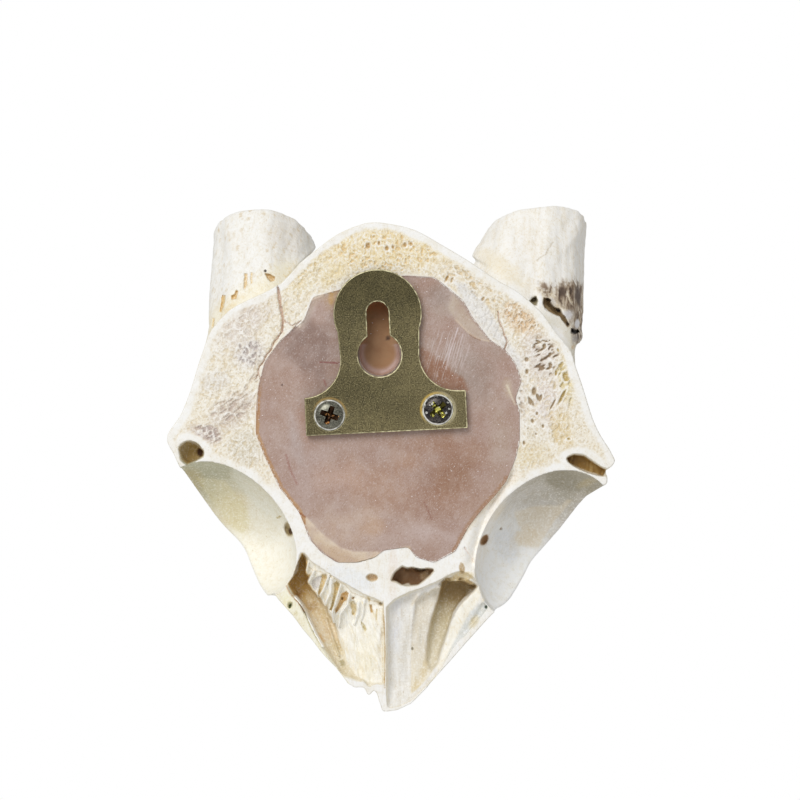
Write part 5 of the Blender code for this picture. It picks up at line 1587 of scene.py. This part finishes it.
keep_colour(bone, "paint", paint)
keep_value(bone, "sponge", sponge)
whole_normals = directions(bone)
corner_vertex, face_start = corners_of(bone)
face_owner = owner[corner_vertex[face_start]]
on_brow = deep[corner_vertex[face_start]] > BROW_DEPTH
only(bone)
bpy.ops.object.shade_smooth()
for name, (nodes, slot) in PIECES.items():
    piece = bpy.data.objects.new(name, bone.data.copy())
    bpy.context.collection.objects.link(piece)
    piece.data.name = name
    keep = np.isin(face_owner, [BONES.index(node) for node in nodes])
    if "frontal" in name:
        keep &= on_brow == ("brow" in name)
    keep_value(piece, "number", np.arange(len(piece.data.vertices)))
    edit_faces(piece, ~keep, bpy.ops.mesh.delete, type="FACE")
    kept = np.empty(len(piece.data.vertices), dtype=np.float32)
    piece.data.attributes["number"].data.foreach_get("value", kept)
    piece.data.normals_split_custom_set_from_vertices(whole_normals[kept.astype(int)].tolist())
    piece.data.attributes.remove(piece.data.attributes["number"])
    finish_piece(piece, BONE_LOOKS[slot], nodes)
bpy.data.objects.remove(bone)

# %% [markdown]
# ## Resin
# The brain cavity was cast full of tinted resin and sanded flat with the bone. It reaches a
# little under the rim of the bone, so that the two meet without a gap, and its face lies a
# hair lower and is slightly uneven. Growing the CAD's solid and remeshing it gives that.

# %% Resin
RESIN_REACH = 0.9 * MM
RESIN_DROP = 0.07 * MM
resin = copy_of("resin_fill", "braincase_fill")
finish_with(resin, "DISPLACE", strength=RESIN_REACH, mid_level=0.0)
finish_with(resin, "REMESH", mode="VOXEL", voxel_size=0.46 * MM)
finish_with(resin, "SMOOTH", factor=0.5, iterations=3)
divide(resin, on_saw(places(resin), directions(resin)))
points = places(resin)
where = seen(points)
flat = (points[:, 1] < SAW_Y + 0.4 * MM) & (directions(resin)[:, 1] < -0.5)
mottle = cloud(points, 6.0 * MM, 71.0)
grit = cloud(points, 0.7 * MM, 72.0, 2)
points[flat, 1] = SAW_Y + RESIN_DROP + 0.05 * MM * mottle[flat]
rim_far = from_line(where, resin_line) * np.where(inside(where, resin_line), 1, -1)
print("resin:", len(points), "points")

# %% [markdown]
# ## Colour of the resin
# Where the resin is clear the bone below shines through, so its colour comes in soft clouds.
# Pale crusts, beige bone at the lower edge and a few red and white hairlines lie over them. The
# beige bone gets a painted shade and a painted highlight on its crest, and the floor of the
# keyhole's pocket is painted brown, darker towards the top, as painted shade under the plate,
# with a painted highlight on its rim.

# %% Colour of the resin
paint = np.empty((len(points), 3))
paint[:] = (184, 162, 150)
deep = (points[:, 1] - SAW_Y) / MM


def hairlines(zone, rows):
    """Paint fine lines: strength, half width at the inner and outer edge, path and colour."""
    for strength, inner, outer, path, colour in rows:
        layer(zone * strength * (1 - step(inner, outer, from_line(where, line(*path)))), colour)


layer(0.55 + 0.6 * mottle, (176, 150, 138))
for spot, half, turn, colour, strength in [
        ((385, 486), (66, 30), -10, (182, 152, 134), 0.9), ((430, 500), (34, 30), 0, (168, 136, 118), 0.8),
        ((345, 530), (40, 24), 0, (204, 184, 168), 0.8), ((300, 470), (34, 40), 0, (182, 160, 152), 0.7),
        ((288, 385), (26, 44), 0, (182, 158, 146), 0.7), ((312, 348), (30, 46), 14, (146, 124, 115), 0.85),
        ((322, 312), (14, 14), 0, (196, 176, 168), 0.8), ((331, 290), (12, 22), 20, (204, 168, 116), 0.85),
        ((450, 300), (26, 30), -20, (182, 168, 157), 0.9), ((470, 360), (34, 40), 0, (174, 158, 148), 0.8),
        ((430, 372), (22, 14), 20, (160, 124, 102), 0.75), ((500, 440), (16, 60), 0, (184, 164, 150), 0.8),
        ((508, 388), (7, 14), 10, (206, 190, 168), 0.8), ((455, 440), (30, 24), 0, (172, 144, 130), 0.6),
        ((395, 530), (60, 16), 0, (190, 168, 158), 0.5), ((373, 528), (14, 10), 0, (198, 168, 142), 0.6),
        ((462, 462), (34, 26), 30, (166, 132, 112), 0.85), ((432, 478), (28, 22), 0, (158, 126, 108), 0.8),
        ((406, 462), (22, 14), 0, (176, 140, 116), 0.6), ((440, 536), (36, 12), -10, (196, 178, 172), 0.7),
        ((310, 425), (22, 18), 0, (190, 158, 142), 0.7), ((340, 478), (30, 18), 10, (192, 160, 142), 0.6),
        ((296, 440), (8, 30), 10, (186, 172, 168), 0.6), ((436, 296), (16, 14), 0, (160, 140, 130), 0.7),
        ((478, 372), (24, 30), 0, (160, 142, 132), 0.6), ((448, 490), (26, 34), 20, (164, 126, 102), 0.7),
        ((480, 500), (24, 26), 40, (176, 148, 132), 0.7),
        ((440, 444), (44, 13), 0, (164, 128, 106), 0.75), ((455, 474), (34, 24), 20, (158, 124, 102), 0.75),
        ((379, 350), (16, 18), 0, (182, 146, 106), 0.8), ((376, 318), (10, 24), 0, (160, 112, 62), 0.9)]:
    layer(strength * spot_mask(spot, half, turn, 0.8, 0.5), colour)
AREAS = [
    (0.85, line(452, 292, 461, 303, 468, 313, 479, 328, 490, 341, 480.6, 339.2, 471.6, 334.8,
                461.8, 325.8, 455.5, 319.5, 448, 308), (198, 182, 164)),
    (0.9, line(420, 346, 431, 353, 437, 360, 445, 361, 452, 372, 463, 378, 468, 390,
               438, 390, 418, 372), (158, 118, 94)),
    (0.6, line(412, 280, 418, 285, 424, 300, 424, 330, 419, 330, 416, 300), (160, 132, 112)),
]
for strength, edge, colour in AREAS:
    layer(area(where, edge, 0.5) * strength, colour)
PALE = line(
    296, 330, 299, 322, 305, 308, 312, 298, 322, 294, 328, 286, 336, 276, 346, 272, 330, 296, 318, 302,
    310, 314, 304, 328)
layer(area(where, PALE, 0.7) * 0.7, (202, 188, 174))
hairlines(1, [
    (0.8, 0.2, 0.8, (329, 282, 331, 292, 331, 302), (200, 162, 106)),
    (0.85, 0.12, 0.5, (299, 326, 302, 314, 307, 304, 313, 298, 322, 294.5, 326.5, 287, 331, 280),
     (240, 230, 214))])
BEIGE = line(
    303, 517, 306, 528, 314, 543, 326, 554, 340, 563, 358, 563, 380, 559, 396, 549, 410, 546, 411, 552,
    400, 556, 376, 552, 353, 552, 339, 547, 321, 533, 307, 518)
layer(area(where, BEIGE, 0.25) * 0.9, (220, 202, 178))
lining_far = from_line(where, line(306, 518, 321, 533, 339, 547, 353, 552, 376, 552, 400, 556))
# Painted shade: the lining darker away from its inner edge.
layer(area(where, BEIGE, 0.25) * step(0.5, 1.8, lining_far) * 0.6, (206, 184, 156))
# Painted highlight: a pale crest along the lining's inner edge.
layer(0.5 * area(where, BEIGE, 0.5) * (1 - step(0.1, 0.5, lining_far)), (238, 226, 206))
BEIGE_RIGHT = line(468, 536, 480, 522, 490, 512, 486, 530, 474, 548, 466, 544)
layer(area(where, BEIGE_RIGHT, 0.3) * 0.8, (214, 190, 160))
low_right = (where[:, 0] > px(452, 0)[0]) * (where[:, 1] < px(0, 476)[1])
right_rim = (1 - step(-0.05, 0.24, rim_far + 0.2 * grit)) * low_right
layer(right_rim * 0.6, (164, 122, 86))
layer(0.30 * step(-0.1, 0.5, cloud(points * (1, 1, 0.6), 1.1 * MM, 78.0, 2)) * flat, (190, 170, 162))
left_rim = (1 - step(-0.05, 0.22, rim_far + 0.15 * grit)) * (where[:, 0] < px(306, 0)[0])
layer(left_rim * step(8.0, 0.0, where[:, 1]) * 0.75, (190, 146, 98))
hairlines(1, [
    (0.75, 0.10, 0.30, (284, 498, 291, 505, 298, 512, 305, 517), (150, 92, 48)),
    (0.6, 0.08, 0.22, (455.5, 319.5, 462, 326, 471.6, 334.8, 480.6, 339.2, 489, 341), (226, 208, 180)),
    (0.6, 0.08, 0.20, (470, 334.6, 474, 337.6, 480, 340), (136, 96, 70)),
    (0.7, 0.10, 0.30, (507, 385, 511, 395, 515, 404), (232, 224, 200)),
    (0.8, 0.07, 0.22, (320, 362, 330, 362.5, 339, 363), (128, 60, 56)),
    (0.7, 0.06, 0.20, (324, 380, 326, 386), (140, 76, 68)),
    (0.5, 0.10, 0.32, (286, 455, 290, 470, 297, 484), (150, 100, 88)),
    (0.6, 0.06, 0.20, (424, 502, 428, 510, 432, 520), (140, 92, 74))])
layer(1 - step(0.14, 0.30, oval(where, px(282, 385), (1, 1))), (90, 70, 62))
POCKET_RING = 4.2
floor_far = step(0.6, 1.2, deep)
# Painted shade: the pocket's floor is brown, and darker towards the top under the plate.
layer(floor_far, (178, 138, 100))
layer(floor_far * 0.7 * ramp((380, 338), (380, 320)), (160, 114, 68))
hairlines(floor_far, [(1, 0.5, 3.0, (372, 304, 382, 304), (170, 110, 52))])
ring_far = np.abs(np.hypot(*(where - px(380, 353)).T) - POCKET_RING)
# Painted highlight: a pale arc on the lower rim of the pocket's round end.
layer(floor_far * 0.7 * (1 - step(0.2, 1.2, ring_far)) * (where[:, 1] < px(0, 345)[1]), (206, 184, 186))
layer(floor_far * 0.9 * spot_mask((388, 338), (2.2, 1.8), 0, 0.5, 0.2), (66, 46, 32))
SCRATCHES = [
    (0.9, (458, 328, 450, 352, 446, 369)), (0.6, (463, 334, 458, 352, 455, 366)),
    (0.5, (441, 340, 436, 354)), (0.5, (470, 345, 465, 360)),
]
hairlines(1, [(strength, 0.06, 0.20, path, (222, 212, 214)) for strength, path in SCRATCHES])
keep_colour(resin, "paint", paint)
scratch = spot_mask((452, 348), (26, 30), -17, 0.7, 0.5)
keep_value(resin, "scratch", scratch * flat)
keep_value(resin, "front", flat * (1 - floor_far))
keep_value(resin, "haze", np.clip(0.35 + 0.5 * mottle + 0.2 * grit, 0, 1) * flat)
points[:, 1] += flat * 0.06 * MM * (1 - step(0.0, 0.5, np.abs(rim_far - 0.3))) * (where[:, 0] < 0)
move_to(resin, points)
only(resin)
bpy.ops.object.shade_smooth()
print("resin painted with", len(SCRATCHES), "deep scratches")

# %% [markdown]
# ## Material of the resin
# Sanding left a fine matt haze with one patch of parallel scratches. Both are noise drawn out
# along the way of the sanding, over the painted colours, with a few pale bubbles.

# %% Material of the resin
resin_material, tree, shader = new_material("tinted_resin")
soft_noise = noise_of(tree, 3.2, 4.0)
fine_noise = noise_of(tree, 0.25, 2.0)
hair_noise = noise_of(tree, 0.26, 2.0, (1, 1, 22), 17.0)
grain_noise = noise_of(tree, 0.24, 2.0, (1, 1, 1.8), 35.0)
front = attribute_of(tree, "front")
specks = dots_of(tree, 1.3).outputs["Distance"]
colour = attribute_of(tree, "paint", "Color")
colour = tint(tree, colour, soft_noise, 0.35, 0.66, 0.50, (230, 212, 198), "MULTIPLY")
haze = times(tree, attribute_of(tree, "haze"), 0.35)
colour = tint(tree, colour, fine_noise, 0.46, 0.68, haze, (206, 192, 190))
colour = tint(tree, colour, grain_noise, 0.57, 0.72, times(tree, front, 0.42), (216, 205, 202))
colour = tint(tree, colour, grain_noise, 0.44, 0.30, times(tree, front, 0.50), (218, 200, 188), "MULTIPLY")
sanded = times(tree, attribute_of(tree, "scratch"), 0.7)
colour = tint(tree, colour, hair_noise, 0.54, 0.62, sanded, (208, 197, 194))
bubbles = remap(tree, soft_noise, 0.50, 0.58)
colour = tint(tree, colour, specks, 0.10, 0.05, bubbles, (246, 242, 240))
height = times(tree, times(tree, fine_noise, 0.4), times(tree, hair_noise, 0.5), "ADD")
wire(tree, shader, Base_Color=colour, Roughness=remap(tree, fine_noise, 0.3, 0.7, 0.34, 0.52),
     Normal=bump_of(tree, height, 0.25, 0.08))
shader.inputs["Specular IOR Level"].default_value = 0.4
finish_piece(resin, resin_material, ["braincase_fill"])

# %% [markdown]
# ## Keyhole plate
# The plate is stamped from sheet brass. A bevel rounds its edges, and the edges are kept as a
# value for the material, which paints a highlight on them.

# %% Keyhole plate
HEAD_SEAT = 3.55
SINK_REACH = 4.2
plate = copy_of("keyhole_plate", "hanger_plate")
only(plate)
bpy.ops.object.mode_set(mode="EDIT")
bpy.ops.mesh.select_all(action="SELECT")
bpy.ops.mesh.dissolve_limited(angle_limit=math.radians(1))
bpy.ops.object.mode_set(mode="OBJECT")
spots = places(plate)
for place in SCREW_PLACES.values():
    offset = spots[:, [0, 2]] / MM - place
    reach = np.hypot(*offset.T)
    sink_rim = (reach < SINK_REACH) & (spots[:, 1] < 0.3 * MM)
    spots[np.ix_(sink_rim, [0, 2])] = (place + offset[sink_rim] * (HEAD_SEAT / reach[sink_rim])[:, None]) * MM
move_to(plate, spots)
finish_with(plate, "BEVEL", width=0.22 * MM, segments=3, limit_method="ANGLE", angle_limit=math.radians(40),
            use_clamp_overlap=False)
# The bevelled faces are kept, for a painted highlight on the edges.
keep_face_mask(plate, "edge", [-0.97 < face.normal.y < -0.15 for face in plate.data.polygons])
bpy.ops.object.shade_smooth_by_angle(angle=math.radians(12))
print("plate:", len(plate.data.polygons), "faces")

# %% [markdown]
# ## Brass
# The brass has a dark green-brown patina with light specks. A painted reflection darkens its
# top and a painted sheen lightens its lower right, its edges get a painted highlight, and a
# painted highlight makes a golden crescent beside each screw head.

# %% Brass
LEAN = 3.6 * MM


def ring_of(tree, centre, low, high, sway):
    """1 in a soft ring round a place on the plate, and stronger towards one side."""
    place = tree.nodes.new("ShaderNodeTexCoord")
    offset = new_node(tree, "ShaderNodeVectorMath", operation="SUBTRACT")
    offset.inputs[1].default_value = (centre[0] * MM, 0, centre[1] * MM)
    flat = new_node(tree, "ShaderNodeVectorMath", operation="MULTIPLY")
    flat.inputs[1].default_value = (1, 0, 1)
    length = new_node(tree, "ShaderNodeVectorMath", operation="LENGTH")
    lean = new_node(tree, "ShaderNodeVectorMath", operation="DOT_PRODUCT")
    lean.inputs[1].default_value = (sway[0] / LEAN, 0, sway[1] / LEAN)
    tree.links.new(place.outputs["Object"], offset.inputs[0])
    tree.links.new(offset.outputs["Vector"], flat.inputs[0])
    tree.links.new(flat.outputs["Vector"], length.inputs[0])
    tree.links.new(flat.outputs["Vector"], lean.inputs[0])
    rise = remap(tree, length.outputs["Value"], low * MM, (low + 0.15) * MM)
    fall = remap(tree, length.outputs["Value"], (high - 0.35) * MM, high * MM, 1.0, 0.0)
    return times(tree, times(tree, rise, fall), remap(tree, lean.outputs["Value"], -0.2, 0.9))


brass, tree, shader = new_material("aged_brass")
speckle = noise_of(tree, 0.26, 3.0)
blotch = noise_of(tree, 1.1, 3.0)
smudge = noise_of(tree, 8.0, 3.0)
height_place = tree.nodes.new("ShaderNodeSeparateXYZ")
tree.links.new(tree.nodes.new("ShaderNodeTexCoord").outputs["Object"], height_place.inputs["Vector"])
# Painted reflection: the top of the plate darker.
reflection_dark_top = remap(tree, height_place.outputs["Z"], 17 * MM, 27 * MM)
low_part = remap(tree, height_place.outputs["Z"], 19 * MM, 10 * MM)
# Painted sheen: the lower right of the plate lighter.
sheen_light_right = times(tree, remap(tree, height_place.outputs["X"], -2 * MM, 10 * MM), low_part)
base = screen(106, 98, 69)
colour = mix_colour(tree, times(tree, remap(tree, smudge, 0.40, 0.66), 0.6), base, screen(138, 127, 91))
colour = tint(tree, colour, blotch, 0.42, 0.66, 0.6, (90, 83, 61))
colour = mix_colour(tree, times(tree, sheen_light_right, 0.5), colour, screen(138, 127, 92))
colour = tint(tree, colour, speckle, 0.52, 0.66, 0.60, (170, 159, 119))
colour = tint(tree, colour, speckle, 0.48, 0.34, 0.70, (44, 42, 32))
colour = mix_colour(tree, reflection_dark_top, colour, screen(208, 208, 203), "MULTIPLY")
# Painted highlights: a crescent beside each screw head, stronger towards one side.
HEAD_HIGHLIGHTS = [
    ("right", 3.2, 4.1, (-0.75, 0.66), 0.9, (222, 186, 96)),
    ("left", 3.2, 4.1, (0.2, 0.98), 0.6, (196, 160, 96)),
    ("right", 3.3, 4.3, (0.9, 0.44), 0.5, (204, 194, 160)),
]
for side, low, high, sway, strength, rgb in HEAD_HIGHLIGHTS:
    ring = ring_of(tree, SCREW_PLACES[side], low, high, sway)
    colour = mix_colour(tree, times(tree, ring, strength), colour, screen(*rgb))
# Painted highlight on the bevelled edges, stronger towards the right, with the metal less metallic there.
edge_highlight = times(tree, attribute_of(tree, "edge"), remap(tree, blotch, 0.36, 0.62, 0.30, 1.0))
edge_highlight = times(tree, edge_highlight, remap(tree, height_place.outputs["X"], -14 * MM, -1 * MM, 0.45, 0.90))
colour = mix_colour(tree, edge_highlight, colour, screen(244, 236, 190))
wire(tree, shader, Base_Color=colour, Metallic=remap(tree, edge_highlight, 0.0, 1.0, 0.85, 0.05),
     Roughness=remap(tree, speckle, 0.3, 0.7, 0.34, 0.50), Normal=bump_of(tree, speckle, 0.15, 0.03))
finish_piece(plate, brass, ["hanger_plate"])

# %% [markdown]
# ## Screws
# A raised countersunk screw is a turned shape, so its profile is drawn once and a screw modifier
# turns it round the axis. The cross recess is cut with two tapered bars by booleans. The second
# screw is a copy of the first one, driven to another angle.

# %% Screws
HEAD_PROFILE = [(0.0, 14.0), (0.7, 13.4), (1.7, 10.0), (1.7, 1.6), (1.75, 1.2), (3.30, 0.02), (3.40, -0.06),
                (3.40, -0.24), (3.32, -0.36), (3.20, -0.42), (3.02, -0.66), (2.6, -0.98), (2.1, -1.20),
                (1.5, -1.34), (0.7, -1.42), (0.0, -1.44)]
HEAD_TOP = -1.44
RECESS_MOUTH = (3.0, 0.82)
RECESS_FLOOR = (0.9, 0.24)
RECESS_DEPTH = 1.15
OVER_HEAD = -1.9
profile = bpy.data.meshes.new("screw_profile")
profile.from_pydata([(reach * MM, along * MM, 0) for reach, along in HEAD_PROFILE],
                    [(index, index + 1) for index in range(len(HEAD_PROFILE) - 1)], [])
screw = bpy.data.objects.new("screw", profile)
bpy.context.collection.objects.link(screw)
finish_with(screw, "SCREW", axis="Y", steps=64, render_steps=64, use_merge_vertices=True,
            merge_threshold=0.001 * MM, use_normal_calculate=True)
for quarter in (0, 90):
    bpy.ops.mesh.primitive_cube_add(size=1, location=(0, 0, 0))
    bar = bpy.context.active_object
    corners = places(bar)
    inner = corners[:, 1] > 0
    corners[:, 0] = np.sign(corners[:, 0]) * np.where(inner, RECESS_FLOOR[0], RECESS_MOUTH[0]) * MM
    corners[:, 2] = np.sign(corners[:, 2]) * np.where(inner, RECESS_FLOOR[1], RECESS_MOUTH[1]) * MM
    corners[:, 1] = np.where(inner, HEAD_TOP + RECESS_DEPTH, OVER_HEAD) * MM
    move_to(bar, corners)
    bar.data.transform(Matrix.Rotation(math.radians(quarter), 4, "Y"))
    finish_with(screw, "BOOLEAN", operation="DIFFERENCE", object=bar, solver="EXACT")
    bpy.data.objects.remove(bar)
finish_with(screw, "BEVEL", width=0.05 * MM, segments=1, limit_method="ANGLE", angle_limit=math.radians(50))
spots = places(screw)
radius = np.hypot(spots[:, 0], spots[:, 2]) / MM
centres = np.array([face.center for face in screw.data.polygons]) / MM
reach = np.hypot(centres[:, 0], centres[:, 2])
dome = HEAD_PROFILE[:-8:-1]
sunk = centres[:, 1] - np.interp(reach, [spot[0] for spot in dome], [spot[1] for spot in dome])
keep_face_mask(screw, "recess", (sunk > 0.05) & (reach < 2.8) & (centres[:, 1] < 0))
# The rim is kept as a value, for a painted highlight there.
keep_value(screw, "rim", step(3.02, 3.22, radius) * (spots[:, 1] < 0))
bpy.ops.mesh.customdata_custom_splitnormals_clear()
bpy.ops.object.shade_smooth_by_angle(angle=math.radians(35))
print("screw:", len(screw.data.polygons), "faces")

# %% [markdown]
# ## Zinc, and the two screws
# The zinc coating has dulled. Each recess is filled with painted shade, brown on the left and
# olive on the right, with a few painted glints, and both rims get a painted highlight. The right
# head's near-black metal is a painted dark reflection.

# %% Zinc, and the two screws
# Each screw: turn in degrees, dull and bright metal, the recess's painted shade, the colour of its
# painted glints, and from where the glints show
SCREW_LOOKS = {
    "left": (20.0, (88, 88, 78), (150, 148, 134), (50, 32, 18), (206, 150, 92), 0.80),
    "right": (48.0, (46, 44, 46), (104, 98, 92), (74, 68, 26), (232, 228, 120), 0.70),
}
for side, (turn, dull, shine, hollow, glint_colour, glint_low) in SCREW_LOOKS.items():
    x, z = SCREW_PLACES[side]
    piece = bpy.data.objects.new("screw_head_" + side, screw.data.copy())
    bpy.context.collection.objects.link(piece)
    turned = Matrix.Rotation(math.radians(turn), 4, "Y")
    piece.data.transform(Matrix.Translation((x * MM, 0, z * MM)) @ turned)
    zinc, tree, shader = new_material("zinc_" + side)
    speckle = noise_of(tree, 0.30, 3.0)
    patch = noise_of(tree, 1.3, 2.0)
    facets = dots_of(tree, 0.50).outputs["Color"]
    glint = tree.nodes.new("ShaderNodeSeparateColor")
    tree.links.new(facets, glint.inputs["Color"])
    colour = mix_colour(tree, remap(tree, speckle, 0.34, 0.74), screen(*dull), screen(*shine))
    colour = mix_colour(tree, remap(tree, patch, 0.46, 0.66, 0.0, 0.5), colour, screen(*dull))
    recess = attribute_of(tree, "recess")
    # Painted shade: the recess is filled dark.
    colour = mix_colour(tree, recess, colour, screen(*hollow))
    in_recess = times(tree, recess, 0.9)
    # Painted glints in the recess.
    colour = tint(tree, colour, glint.outputs["Red"], glint_low, glint_low + 0.08, in_recess, glint_colour)
    # Painted glints: white bars on the right head.
    if side == "right":
        colour = tint(tree, colour, glint.outputs["Green"], 0.91, 0.95, 0.85, (240, 240, 232))
    # Painted highlight on the rim.
    rim = attribute_of(tree, "rim")
    rim_highlight = times(tree, rim, remap(tree, patch, 0.36, 0.52, 0.35, 1.0))
    colour = mix_colour(tree, rim_highlight, colour, screen(244, 243, 236))
    wire(tree, shader, Base_Color=colour, Metallic=remap(tree, rim, 0.0, 1.0, 0.9, 0.3),
         Roughness=remap(tree, speckle, 0.3, 0.7, 0.24, 0.42), Normal=bump_of(tree, speckle, 0.35, 0.05))
    finish_piece(piece, zinc, ["screw_" + side])
bpy.data.objects.remove(screw)
